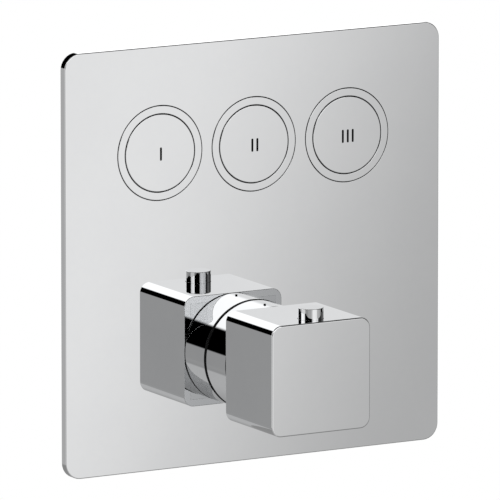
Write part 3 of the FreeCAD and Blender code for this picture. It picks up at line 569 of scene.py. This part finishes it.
FOAM = Finish(
    "foam", "seal_foam", (0.12, 0.12, 0.125), (0.2, 0.2, 0.205), 0.0, (0.85, 0.95),
    Grain.FOAM, 260.0, 0.9,
)
BLACK_PLASTIC = Finish(
    "moulded_plastic", "black_plastic", (0.035, 0.035, 0.038), (0.06, 0.06, 0.064), 0.0,
    (0.32, 0.45), Grain.MOULDED, 500.0, 0.25,
)
COPPER = Finish(
    "copper", "copper", (0.78, 0.42, 0.27), (0.66, 0.33, 0.2), 1.0, (0.22, 0.38),
    Grain.TURNED, 350.0, 0.1,
)
PRINT = Finish(
    "black_print", "black_plastic", (0.002, 0.002, 0.002), (0.003, 0.003, 0.003), 0.0,
    (0.5, 0.6), Grain.MOULDED, 600.0, 0.05, edge=0.00002, shine=0.02,
)


# ---- Pieces ----


@dataclass(frozen=True)
class Box:
    """The box of one of the frame's nodes, in millimetres."""

    low: Array
    high: Array

    @classmethod
    def of(cls, node: str) -> "Box":
        """Reads the box of the node with this name."""
        return cls(*np.array(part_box(node)) / MM)

    @property
    def middle(self) -> Array:
        """The box's middle."""
        return (self.low + self.high) / 2.0

    @property
    def half(self) -> Array:
        """Half of the box's width, depth and height."""
        return (self.high - self.low) / 2.0

    @property
    def depths(self) -> Pair:
        """The places of the box's front and back."""
        return self.low[1], self.high[1]

    @property
    def axis(self) -> Array:
        """The box's middle in the plane of the wall."""
        return self.middle[FLAT]


def button_axis(index: int) -> Array:
    """Gives the axis of a push button in the plane of the wall."""
    return Box.of(f"button_cap_{index}").axis


def knob_axis() -> Array:
    """Gives the knob's axis in the plane of the wall."""
    return Box.of("knob_body").axis


@dataclass
class WallPlate:
    """The square cover plate with its holes, and the foam seal in its back."""

    corner: float = 8.0
    edge: float = 0.45
    back_edge: float = 0.2
    border: float = 1.2
    ring_hole: float = 23.6
    neck_hole: float = 14.0
    hole_edge: float = 0.1
    hole_border: float = 0.3
    seal_inset: float = 5.0
    seal_width: float = 3.0
    seal_depth: float = 1.5
    seal_gap: float = 0.05
    seal_edges: Pair = (0.1, 0.7)
    seal_corner: float = 5.6

    def make(self) -> None:
        """Makes the plate and its seal."""
        box = Box.of("cover_plate")
        half, (face, back) = box.half[FLAT], box.depths
        bores = [(button_axis(index), self.ring_hole) for index in BUTTONS]
        bores.append((knob_axis(), self.neck_hole))
        holes = [circle(axis, radius + self.hole_border) for axis, radius in bores]
        shell = Shell()
        profile = rounded(band(self.border, 0, back, face), [0, self.back_edge, self.edge, 0])
        rows = shell.sections(profile, half, self.corner, (0, 0))
        shell.panel(Axis.Y, face, rows[-1][:, FLAT], holes)
        groove = half - self.seal_inset
        inner = groove - self.seal_width
        shell.panel(Axis.Y, back, rows[0][:, FLAT], [box_loop(groove)])
        shell.panel(Axis.Y, back, box_loop(inner), holes)
        floor = back - self.seal_depth
        shell.panel(Axis.Y, floor, box_loop(groove), [box_loop(inner)])
        open_ends = [(Axis.Y, 0), (Axis.Y, 1)]
        for wide, high in (groove, inner):
            shell.walls((-wide, floor, -high), (wide, back, high), None, open_ends)
        for axis, radius in bores:
            section = band(radius + self.hole_border, radius, face, back)
            shell.lathe(rounded(section, [0, self.hole_edge, self.hole_edge, 0], 3), axis)
        shell.build("wall_plate", CHROME, "valve", ["cover_plate"])
        self.make_seal(half)

    def make_seal(self, half: Array) -> None:
        """Makes the foam strip, soft-edged at its back, from half of the plate's sides."""
        front, back = Box.of("plate_seal").depths
        start = self.seal_inset + self.seal_gap
        end = start + self.seal_width - 2.0 * self.seal_gap
        corners = [(start, front), (start, back), (end, back), (end, front)]
        small, large = self.seal_edges
        profile = rounded(corners, [small, large, large, small], 4)
        seal = Shell()
        seal.sections(profile, half, self.seal_corner, (0, 0), closed=True)
        seal.build("foam_seal", FOAM, "valve", ["plate_seal"])


@dataclass
class PushButton:
    """One push button: cap with its numeral, valve washer and spring, and a black ring of painted
    shade in the gap round the cap.

    The painted-shade ring's sizes are offsets from the cap's back edge, and the bars' depths from
    its face.
    """

    index: int
    edge: float = 0.3
    back_edge: float = 0.2
    # Where the black ring of painted shade sits in the gap between the cap and its ring.
    gap_shade_radii: Pair = (-0.2, 0.36)
    gap_shade_depths: Pair = (-0.6, -0.02)
    bar_width: float = 1.1
    bar_height: float = 6.6
    bar_pitch: float = 2.8
    bar_depths: Pair = (-0.02, 0.3)
    print_offset: Pair = (0.4, -0.5)
    washer_seat: float = 2.0
    washer_dish: float = 0.4
    washer_edges: Triple = (0.4, 0.5, 0.4)
    travel: float = 3.5
    spring: Triple = (6.95, 1.3, 5.5)

    def __post_init__(self) -> None:
        """Reads where the cap is."""
        self.cap: str = f"button_cap_{self.index}"
        self.body: str = f"button_{self.index}"
        box = Box.of(self.cap)
        self.axis: Array = box.axis
        self.radius: float = box.half[0]
        self.face, self.back = box.depths

    def make(self) -> None:
        """Makes the button's pieces."""
        shell = Shell()
        section = band(0, self.radius, self.face, self.back)
        shell.lathe(rounded(section, [0, self.edge, self.back_edge, 0]), self.axis)
        shell.build(f"cap_{self.index}", CHROME, self.body, [self.cap])
        self.make_gap_shade_ring()
        self.make_numeral()
        self.make_washer()
        self.make_spring()

    def make_gap_shade_ring(self) -> None:
        """Puts a thin black ring round the cap's back edge, as painted shade in the gap to its
        ring.
        """
        inner, outer = (self.radius + offset for offset in self.gap_shade_radii)
        start, end = (self.back + offset for offset in self.gap_shade_depths)
        shell = Shell()
        shell.lathe(band(inner, outer, start, end), self.axis, closed=True)
        shell.build(f"cap_lip_{self.index}", GAP_SHADE_BLACK, self.body)

    def make_numeral(self) -> None:
        """Prints one to three bars on the cap."""
        middle = self.axis + self.print_offset
        reach = (self.bar_height - self.bar_width) / 2.0
        round_end = circle((0, 0), self.bar_width / 2.0, 32)
        upper = round_end[:, 1:] >= -SAME_POINT
        outline = round_end + np.where(upper, 1, -1) * np.array([0, reach])
        start, end = (self.face + offset for offset in self.bar_depths)
        shell = Shell()
        for number in range(self.index):
            across = (number - (self.index - 1) / 2.0) * self.bar_pitch
            shell.prism(outline + middle + (across, 0), start, end)
        shell.build(f"numeral_{self.index}", PRINT, self.body)

    def make_washer(self) -> None:
        """Makes the rubber washer on the rod's end, dished round its middle."""
        node = f"valve_washer_{self.index}"
        box = Box.of(node)
        radius, (front, back) = box.half[0], box.depths
        seat, dish = (radius - self.washer_seat, back), (0, back - self.washer_dish)
        corners = [(0, front), (radius, front), (radius, back), seat, dish]
        shell = Shell()
        shell.lathe(rounded(corners, [0, *self.washer_edges, 0]), self.axis, steps=SMALL_ROUND)
        shell.build(f"washer_{self.index}", RUBBER, self.body, [node])

    def make_spring(self) -> None:
        """Winds the spring behind the cap."""
        node = f"button_spring_{self.index}"
        start, end = Box.of(node).depths
        piece = wound(f"cap_spring_{self.index}", node, "valve", Axis.Y, self.axis, self.spring)
        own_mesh(piece)


def wound(
    name: str, node: str, body: str, axis: Axis, centre: Numbers, winding: Triple
) -> bpy.types.Object:
    """Winds a round-wire spring in the place of a node.

    Args:
        name: the piece's name.
        node: the node that it stands for.
        body: the body that it rides on.
        axis: the spring's axis.
        centre: the axis's place in the plane across it.
        winding: the mean radius, the wire's thickness and the turns.

    Returns:
        The spring's object.
    """
    along = axis.value[0]
    radius, wire, turns = winding
    box = Box.of(node)
    section = circle((0, 0), wire / 2.0, 14)
    shell = Shell()
    shell.coil(section, radius, box.low[along], box.high[along], turns, centre, axis, dead=0.9)
    return shell.build(name, SPRING_STEEL, body, [node])


@dataclass
class Knob:
    """The cube-shaped knob with its collar, safety stop and springs.

    A spring is given by its mean radius, its wire and its turns, and the dot's rings by the share
    of its radius and the height above the collar.
    """

    corner: float = 5.3
    edge: float = 0.62
    back_edge: float = 0.25
    border: float = 1.4
    back_border: float = 0.6
    wall: float = 3.5
    face: float = 3.0
    hole_border: float = 0.5
    hole_edge: float = 0.04
    stop_hole: float = 6.45
    stop_edges: Pair = (0.3, 0.2)
    grub_hole: float = 2.55
    grub_edge: float = 0.3
    grub_end_edge: float = 0.5
    grub_socket: Pair = (1.35, 2.2)
    boss: float = 9.0
    boss_reach: float = 24.0
    bore: float = 6.05
    bore_length: float = 16.0
    collar_wall: float = 1.6
    collar_web: float = 3.0
    collar_edge: float = 0.06
    neck: float = 12.05
    # Depths and clearance of the black rings in front of and behind the collar, which are painted
    # shade in its gaps, and how far the back one reaches past the collar.
    front_collar_shade: float = 0.5
    collar_shade: float = 0.4
    collar_shade_clearance: float = 0.01
    lip: float = 0.15
    dot: float = 0.6
    dot_steps: int = 40
    dot_place: Pair = (-1.9, -18.7)
    dot_rings: tuple[Pair, ...] = (
        (0.0, 0.6), (0.75, 0.55), (1.0, 0.4), (1.0, -0.4), (0.0, -0.4)
    )
    stop_spring: Triple = (2.8, 0.75, 5.5)
    return_spring: Triple = (8.5, 1.3, 6.5)
    overload_spring: Triple = (5.6, 1.3, 4.0)
    stop_squash: float = 0.6
    return_squash: float = 0.976

    def make(self) -> None:
        """Makes the knob's pieces."""
        self.make_body()
        self.make_stop()
        self.make_collar()
        self.make_grub_screw()
        self.make_springs()

    def make_body(self) -> None:
        """Makes the hollow cube with its boss and the two holes through its walls."""
        box = Box.of("knob_body")
        centre, half, (front, back) = box.axis, box.half[FLAT], box.depths
        corners = [(self.back_border, back), (0, back), (0, front), (self.border, front)]
        profile = rounded(corners, [0, self.back_edge, self.edge, 0], 8)
        split = 1 + int(np.argmax(np.abs(np.diff(profile[:, 1]))))
        shell = Shell()
        rear = shell.sections(profile[:split], half, self.corner, centre)
        fore = shell.sections(profile[split:], half, self.corner, centre)
        side = np.stack([rear[-1], fore[0]])
        quarter = side.shape[1] // 4
        shell.grid(side[:, : 2 * quarter])
        shell.grid(side[:, 2 * quarter :])
        shell.panel(Axis.Y, front, fore[-1][:, FLAT])
        stop, grub = (Box.of(node).middle[[0, 1]] for node in ("stop_button", "grub_screw"))
        for level, columns, middle, radius in (
            (box.high[2], (2 * quarter - 1, 2 * quarter), stop, self.stop_hole),
            (box.low[2], (4 * quarter - 1, 0), grub, self.grub_hole),
        ):
            first, last = (side[:, column, :2] for column in columns)
            outer = np.array([first[0], first[1], last[1], last[0]])
            wide = radius + self.hole_border
            shell.panel(Axis.Z, level, outer, [circle(middle, wide)])
            inner_level = level - math.copysign(self.wall, level - centre[1])
            bore = [(wide, level), (radius, level), (radius, inner_level)]
            shell.lathe(rounded(bore, [0, self.hole_edge, 0]), middle, Axis.Z)
        wide = half - self.wall
        floor = front + self.face
        cavity_low = (centre[0] - wide[0], floor, centre[1] - wide[1])
        cavity_high = (centre[0] + wide[0], back, centre[1] + wide[1])
        stop_loop, grub_loop = circle(stop, self.stop_hole), circle(grub, self.grub_hole)
        openings = {(Axis.Z, 1): [stop_loop], (Axis.Z, 0): [grub_loop]}
        shell.walls(cavity_low, cavity_high, openings, [(Axis.Y, 1)])
        shell.panel(Axis.Y, back, rear[0][:, FLAT], [box_loop(wide, 0, centre)])
        self.add_boss(shell, centre, floor, grub)
        shell.build("knob_cube", BRIGHT_CHROME, "knob", ["knob_body"])

    def add_boss(self, shell: Shell, centre: Array, start: float, grub: Array) -> None:
        """Adds the square boss and its bore inside the knob.

        Args:
            shell: the knob's surface.
            centre: the knob's axis.
            start: where the boss springs from the front wall.
            grub: the grub screw's axis.
        """
        end = start + self.boss_reach
        hole = circle(grub, self.grub_hole)
        for size, first in ((self.boss, start), (self.bore, end - self.bore_length)):
            low = (centre[0] - size, first, centre[1] - size)
            high = (centre[0] + size, end, centre[1] + size)
            shell.walls(low, high, {(Axis.Z, 0): [hole]}, [(Axis.Y, 1)])
        boss, bore = (box_loop((size, size), 0, centre) for size in (self.boss, self.bore))
        shell.panel(Axis.Y, end, boss, [bore])
        levels = [(self.grub_hole, centre[1] - size) for size in (self.boss, self.bore)]
        shell.lathe(np.array(levels), grub, Axis.Z)

    def make_stop(self) -> None:
        """Makes the round button on the knob's top."""
        box = Box.of("stop_button")
        section = band(0, box.half[0], box.high[2], box.low[2])
        shell = Shell()
        shell.lathe(rounded(section, [0, *self.stop_edges, 0], 10), box.middle[[0, 1]], Axis.Z)
        shell.build("stop_cap", CHROME, "safety_button", ["stop_button"])

    def make_collar(self) -> None:
        """Makes the thin collar behind the knob, black rings of painted shade in its gaps to the
        plate and the knob, and the index dot on its top.
        """
        box = Box.of("index_collar")
        centre, radius = box.axis, box.half[0]
        front, back = box.low[1] + self.front_collar_shade, box.high[1] - self.collar_shade
        inner, web, neck = radius - self.collar_wall, back - self.collar_web, self.neck
        corners = [
            (inner, front), (radius, front), (radius, back), (neck, back), (neck, web), (inner, web)
        ]
        profile = rounded(corners, [0, self.collar_edge, self.collar_edge, 0, 0, 0], 2)
        shell = Shell()
        shell.lathe(profile, centre, closed=True, steps=LARGE_ROUND)
        shell.build("collar", CHROME, "valve", ["index_collar"])
        # Black rings behind and in front of the collar: painted shade in the gaps to the plate and
        # the knob.
        plate, knob = Box.of("cover_plate").depths[0], Box.of("knob_body").depths[1]
        gap = self.collar_shade_clearance
        collar_shade = Shell()
        for start, end, outer in ((back, plate, radius + self.lip), (knob, front, radius)):
            collar_shade.lathe(band(inner, outer, start + gap, end - gap), centre, closed=True)
        collar_shade.build("collar_gaskets", GAP_SHADE_BLACK, "valve")
        rows = np.empty((len(self.dot_rings), self.dot_steps, 3))
        for row, (share, lift) in zip(rows, self.dot_rings):
            row[:, :2] = circle(self.dot_place, share * self.dot, self.dot_steps)
            across = row[:, 0] - centre[0]
            row[:, 2] = centre[1] + np.sqrt((radius + lift) ** 2 - across**2)
        dot = Shell()
        dot.grid(rows, False, True)
        dot.build("index_dot", PRINT, "valve")

    def make_grub_screw(self) -> None:
        """Makes the socket screw that holds the knob on its insert."""
        box = Box.of("grub_screw")
        radius, low, high = box.half[0], box.low[2], box.high[2]
        edge = self.grub_edge
        corners = [(radius - edge, low), (radius, low + edge), (radius, high), (0, high)]
        outline = rounded(corners, [0, 0, self.grub_end_edge, 0])
        place, node = box.middle[[0, 1]], "grub_screw"
        socket_screw("grub_socket", Axis.Z, place, outline, self.grub_socket, "knob", [node])

    def make_springs(self) -> None:
        """Winds the springs of the safety stop, the shuttle and the overload."""
        centre = knob_axis()
        box = Box.of("stop_spring")
        stop = box.middle[[0, 1]]
        spring = wound("stop_coil", "stop_spring", "knob", Axis.Z, stop, self.stop_spring)
        anchor = Vector((stop[0], stop[1], box.low[2])) * MM
        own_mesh(spring)
        node = "return_spring"
        spring = wound("return_coil", node, "valve", Axis.Y, centre, self.return_spring)
        anchor = Vector((centre[0], Box.of(node).depths[1], centre[1])) * MM
        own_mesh(spring)
        wound("overload_coil", "overload_spring", "setting", Axis.Y, centre, self.overload_spring)


def socket_screw(
    name: str, axis: Axis, centre: Array, outline: Array,
    socket: Pair, body: str, replaced: Sequence[str] = (),
) -> None:
    """Makes a screw with a hexagon socket in its flat end.

    Args:
        name: the piece's name.
        axis: the screw's axis.
        centre: the axis's place in the plane across it.
        outline: the profile from the edge of the socketed end round to the far end's middle.
        socket: the socket's radius to its corners, and its depth.
        body: the body that it rides on.
        replaced: the nodes that it stands for.
    """
    radius, depth = socket
    face = outline[0, 1]
    floor = face + math.copysign(depth, outline[-1, 1] - face)
    hexagon = circle(centre, radius, 6)
    shell = Shell()
    shell.lathe(outline, centre, axis, steps=SCREW_ROUND)
    shell.panel(axis, face, circle(centre, outline[0, 0], SCREW_ROUND), [hexagon])
    shell.lathe(np.array([(radius, face), (radius, floor)]), centre, axis, steps=6)
    shell.panel(axis, floor, hexagon)
    shell.build(name, BRUSHED_STEEL, body, replaced)


@dataclass
class Rings:
    """The rings that line the plate's holes round the buttons, and black rings of painted shade in
    the gaps between them and the plate.

    The painted-shade rings' depths are offsets from the rings' front.
    """

    inner: float = 19.5
    outer: float = 23.25
    edge: float = 0.2
    hole: float = 23.6
    # Clearance and depths of the black rings of painted shade in the gaps round the rings.
    seal_gap: float = 0.01
    ring_shade_depths: Pair = (0.9, 1.5)

    def make(self) -> None:
        """Makes the three rings as one piece, and black rings of painted shade in the gaps between
        them and the plate.
        """
        (front, back), gap = Box.of("button_rings").depths, self.seal_gap
        start, end = (front + depth for depth in self.ring_shade_depths)
        ring = rounded(band(self.inner, self.outer, front, back), [self.edge, self.edge, 0, 0])
        # Profile of the black ring of painted shade in the gap between a ring and the plate.
        seal = band(self.outer + gap, self.hole - gap, start, end)
        for profile, name, finish, replaced in (
            (ring, "rings", CHROME, ["button_rings"]),
            (seal, "ring_seals", GAP_SHADE_BLACK, ()),
        ):
            shell = Shell()
            for index in BUTTONS:
                shell.lathe(profile, button_axis(index), closed=True)
            shell.build(name, finish, "valve", replaced)


@dataclass
class Rear:
    """The bracket with its screws, and the pipe threads in the castings."""

    fixing: float = 3.25
    fixing_places: Pair = (54.0, 24.0)
    corner: float = 6.0
    border: float = 0.8
    edge: float = 0.3
    hole_border: float = 0.3
    hole_edge: float = 0.15
    screw: float = 2.6
    head: float = 5.0
    screw_gap: float = 0.1
    sink: float = 0.3
    head_edge: Pair = (0.2, 0.05)
    socket: Pair = (2.0, 1.6)
    thread_pitch: float = 1.814
    thread_length: float = 15.0
    thread_start: float = 0.4
    ridge: tuple[Pair, ...] = ((0.04, -0.8), (-0.5, -0.14), (-0.5, 0.14), (0.04, 0.8))
    bore: float = 9.3
    outlet_depth: float = 44.0
    inlet_depths: Pair = (46.0, 42.0)

    def make(self) -> None:
        """Makes the bracket, its screws and the threads."""
        self.make_bracket()
        self.make_threads()

    def make_bracket(self) -> None:
        """Makes the steel bracket with its fixing holes and countersunk screws."""
        box = Box.of("fixing_bracket")
        front, back = box.depths
        across, up = self.fixing_places
        fixings = [(side * across, level * up) for side in (-1, 1) for level in (-1, 1)]
        screws = [button_axis(1), button_axis(3), knob_axis()]
        shell = Shell()
        profile = rounded(band(self.border, 0, front, back), [0, self.edge, self.edge, 0], 4)
        rows = shell.sections(profile, box.half[FLAT], self.corner, (0, 0))
        narrow, wide = self.screw + self.screw_gap, self.head + self.screw_gap
        reach = self.fixing + self.hole_border
        for end, loop, sunk in ((front, rows[0], narrow), (back, rows[-1], wide)):
            holes = [circle(place, reach, SCREW_ROUND) for place in fixings]
            holes += [circle(place, sunk, SCREW_ROUND) for place in screws]
            shell.panel(Axis.Y, end, loop[:, FLAT], holes)
        section = band(reach, self.fixing, front, back)
        bore = rounded(section, [0, self.hole_edge, self.hole_edge, 0], 3)
        for place in fixings:
            shell.lathe(bore, place, steps=SCREW_ROUND)
        sink = front + self.sink
        cone = np.array([(narrow, front), (narrow, sink), (wide, back)])
        inward, lowered = self.head_edge
        outline = np.array([
            (self.head - inward, back - lowered), (self.head, back - inward), (self.screw, sink),
            (self.screw, front), (0, front),
        ])
        for number, place in enumerate(screws, start=1):
            shell.lathe(cone, place, steps=SCREW_ROUND)
            socket_screw(f"bracket_screw_{number}", Axis.Y, place, outline, self.socket, "valve")
        shell.build("bracket", BRUSHED_STEEL, "valve", ["fixing_bracket"])

    def make_threads(self) -> None:
        """Cuts the look of a pipe thread into the inlets and outlets."""
        top, mixer = Box.of("outlet_manifold").high[2], Box.of("mixer_body")
        ports = [(Axis.Z, (button_axis(n)[0], self.outlet_depth), top, -1) for n in BUTTONS]
        level = knob_axis()[1]
        for depth, mouth, inward in zip(self.inlet_depths, (mixer.low[0], mixer.high[0]), (1, -1)):
            ports.append((Axis.X, (depth, level), mouth, inward))
        turns = self.thread_length / self.thread_pitch
        for number, (axis, centre, mouth, inward) in enumerate(ports, start=1):
            start = mouth + inward * self.thread_start
            end = start + inward * self.thread_length
            shell = Shell()
            shell.coil(np.array(self.ridge), self.bore, start, end, turns, centre, axis)
            shell.build(f"thread_{number}", TURNED_BRASS, "valve", smooth=False)


NODE_FINISHES = {
    CHROME: ("knob_back_cover",),
    CAST_BRASS: ("outlet_manifold", "mixer_body"),
    TURNED_BRASS: (
        "shutoff_cartridges", "transfer_tube", "cartridge_housing", "cartridge_nut",
        "spindle", "setting_nut", "splined_insert",
    ),
    BRUSHED_STEEL: ("push_rod_1", "push_rod_2", "push_rod_3", "element_plunger"),
    BLACK_PLASTIC: ("check_valves", "stop_ring", "stop_slider", "shuttle"),
    COPPER: ("wax_element",),
}


def dress_nodes() -> None:
    """Gives the frame's own nodes their materials."""
    for finish, names in NODE_FINISHES.items():
        for name in names:
            node = frame["nodes"][name]
            node.data.materials.clear()
            node.data.materials.append(finish.material())


# ---- Studio ----


@dataclass(frozen=True)
class Zone:
    """A belt of the studio's walls, whose brightness changes round the horizon.

    Each step holds the directions where a smooth change starts and ends, and its size.
    """

    base: float
    steps: tuple[Triple, ...]

    def value(self, graph: Graph, azimuth: Socket) -> Socket:
        """Works out the belt's brightness, by the degrees from the front towards the right."""
        total = self.base
        for start, end, change in self.steps:
            total = graph.math("ADD", total, graph.ramp(azimuth, start, end, change))
        return total


LOW_ZONE = Zone(0.49, (
    (-150, -112, 0.35), (-85, -72, -0.5), (-54, -48, 0.105), (-27, -20, 0.155), (-19, -6, 0.46),
    (8, 27.5, -0.075), (28.52, 30.9, -0.45), (40, 60, -0.09), (66, 77, -0.45), (96, 108, 0.49),
))
MIDDLE_ZONE = Zone(0.0, (
    (-147, -120, 1.45), (-105, -88, -0.25), (-85, -80, -1.2), (-18, -10, 1.12), (-8, 3, 0.22),
    (10, 29, -0.26), (38, 45, -1.04), (80, 90, 0.12), (112, 140, 1.35), (152.5, 157, -1.51),
))
HIGH_ZONE = Zone(0.0, ((-150, -110, 1.0), (-75, -62, 0.67), (28.7, 30.8, -1.67)))
BELOW_ZONE = Zone(0.3, (
    (-150, -110, 0.14), (-25, -23.5, 0.22), (-15, 25, -0.2), (30, 42, -0.24), (100, 150, 0.08),
))


@dataclass
class Studio:
    """The camera, the lamps, the floor and the surroundings.

    The walls are belts one above another, and a span holds the elevations between which one belt
    gives way to the next.  The low belt leans.  The high one has its starts and ends for the
    right and the left, and `lift_span` holds the directions between which they change.
    """

    azimuth: float = -29.47
    elevation: float = 10.5
    distance: float = 4.968
    lens: float = 729.9
    target: Triple = (-0.00216, -0.0045, -0.0001)
    lamps: tuple = (
        ("key", (-1.3, -1.6, 1.4), 14.0), ("fill", (1.7, -1.2, 0.5), 6.0),
        ("rear", (0.4, 2.0, 1.2), 12.0),
    )
    lamp_size: float = 1.2
    floor_size: float = 4.0
    floor_level: float = -0.135
    floor_colour: tuple = (0.9, 0.9, 0.9, 1.0)
    ambient: float = 0.72
    ceiling: float = 0.08
    lean: float = -0.38
    lean_offset: float = 3.95
    below_span: Pair = (-14.0, -19.0)
    middle_span: Pair = (-0.8, 0.8)
    ceiling_span: Pair = (34.0, 44.0)
    lift_span: Pair = (5.0, -18.0)
    high_starts: Pair = (11.5, 22.3)
    high_ends: Pair = (19.0, 24.8)

    def make(self) -> None:
        """Makes all of the studio."""
        self.make_camera()
        self.make_lamps()
        self.make_floor()
        self.make_world()
        bpy.context.scene.view_settings.view_transform = "Standard"

    def make_camera(self) -> None:
        """Puts the camera where the photograph was taken from."""
        turn, rise = math.radians(self.azimuth), math.radians(self.elevation)
        level = math.cos(rise)
        back = Vector((math.sin(turn) * level, -math.cos(turn) * level, math.sin(rise)))
        data = bpy.data.cameras.new("camera")
        data.lens, data.sensor_width, data.clip_end = self.lens, 36.0, 50.0
        camera = placed("camera", data)
        camera.location = Vector(self.target) + back * self.distance
        camera.rotation_euler = (-back).to_track_quat("-Z", "Y").to_euler()
        bpy.context.scene.camera = camera

    def make_lamps(self) -> None:
        """Hangs soft lamps that light without showing in the chrome."""
        for name, place, power in self.lamps:
            data = bpy.data.lights.new(name, "AREA")
            data.energy, data.size = power, self.lamp_size
            lamp = placed(name, data)
            lamp.location = place
            lamp.rotation_euler = (-Vector(place)).to_track_quat("-Z", "Y").to_euler()
            lamp.visible_glossy = lamp.visible_camera = False

    def make_floor(self) -> None:
        """Lays the plain white floor, which is open to a look from below."""
        mesh = bpy.data.meshes.new("floor")
        corners = box_loop([self.floor_size] * 2).tolist()
        mesh.from_pydata([(x, y, self.floor_level) for x, y in corners], [], [(0, 1, 2, 3)])
        floor = placed("floor", mesh)
        material = bpy.data.materials.new("floor")
        material.use_nodes = True
        graph = Graph(material.node_tree)
        nodes = material.node_tree.nodes
        plain = nodes["Principled BSDF"]
        graph.fill(plain.inputs, {"Base Color": self.floor_colour})
        seen = graph.add("Emission", {"Color": WHITE, "Strength": 1.0}).outputs[0]
        path = graph.add("LightPath").outputs
        sockets = {0: path["Is Camera Ray"], 1: plain.outputs[0], 2: seen}
        camera = graph.add("MixShader", sockets).outputs[0]
        clear = graph.add("BsdfTransparent").outputs[0]
        below = graph.add("NewGeometry").outputs["Backfacing"]
        final = graph.add("MixShader", {0: below, 1: camera, 2: clear}).outputs[0]
        graph.fill(nodes["Material Output"].inputs, {"Surface": final})
        mesh.materials.append(material)
        floor.visible_glossy = False

    def make_world(self) -> None:
        """Surrounds the object with a white studio that has dark flags for the chrome."""
        world = bpy.data.worlds.new("studio")
        bpy.context.scene.world = world
        world.use_nodes = True
        graph = Graph(world.node_tree)
        ray = graph.add("TexCoord").outputs["Generated"]
        ray = graph.add("VectorMath", {0: ray}, operation="NORMALIZE").outputs[0]
        across, depth, up = graph.add("SeparateXYZ", {0: ray}).outputs
        degrees = 180.0 / math.pi
        toward = graph.math("MULTIPLY", depth, -1.0)
        azimuth = graph.math("MULTIPLY", graph.math("ARCTAN2", across, toward), degrees)
        elevation = graph.math("MULTIPLY", graph.math("ARCSINE", up), degrees)
        straight = graph.math("SUBTRACT", azimuth, self.lean_offset)
        low = LOW_ZONE.value(graph, graph.math("MULTIPLY_ADD", elevation, self.lean, straight))
        middle, high, below = (
            zone.value(graph, azimuth) for zone in (MIDDLE_ZONE, HIGH_ZONE, BELOW_ZONE)
        )
        lift = graph.ramp(azimuth, *self.lift_span)
        high_span = (graph.mix(lift, *self.high_starts), graph.mix(lift, *self.high_ends))
        walls = low
        for span, belt in (
            (self.below_span, below), (self.middle_span, middle), (high_span, high),
            (self.ceiling_span, self.ceiling),
        ):
            walls = graph.mix(graph.ramp(elevation, *span), walls, belt)
        path = graph.add("LightPath").outputs
        mirrored = graph.math("MAXIMUM", path["Is Glossy Ray"], path["Is Transmission Ray"])
        level = graph.mix(mirrored, self.ambient, walls)
        values = {"Strength": graph.mix(path["Is Camera Ray"], level, 1.0), "Color": WHITE}
        graph.fill(world.node_tree.nodes["Background"].inputs, values)


def main() -> None:
    """Builds the whole scene."""
    logging.basicConfig(level=logging.INFO, format="%(name)s: %(message)s")
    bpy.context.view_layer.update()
    Studio().make()
    known = set(bpy.data.objects.keys())
    for part in (WallPlate(), Rings(), *map(PushButton, BUTTONS), Knob(), Rear()):
        part.make()
        for name in sorted(set(bpy.data.objects.keys()) - known):
            LOG.info("%s built piece %s", type(part).__name__, name)
            known.add(name)
    dress_nodes()


if __name__ == "__main__":
    main()
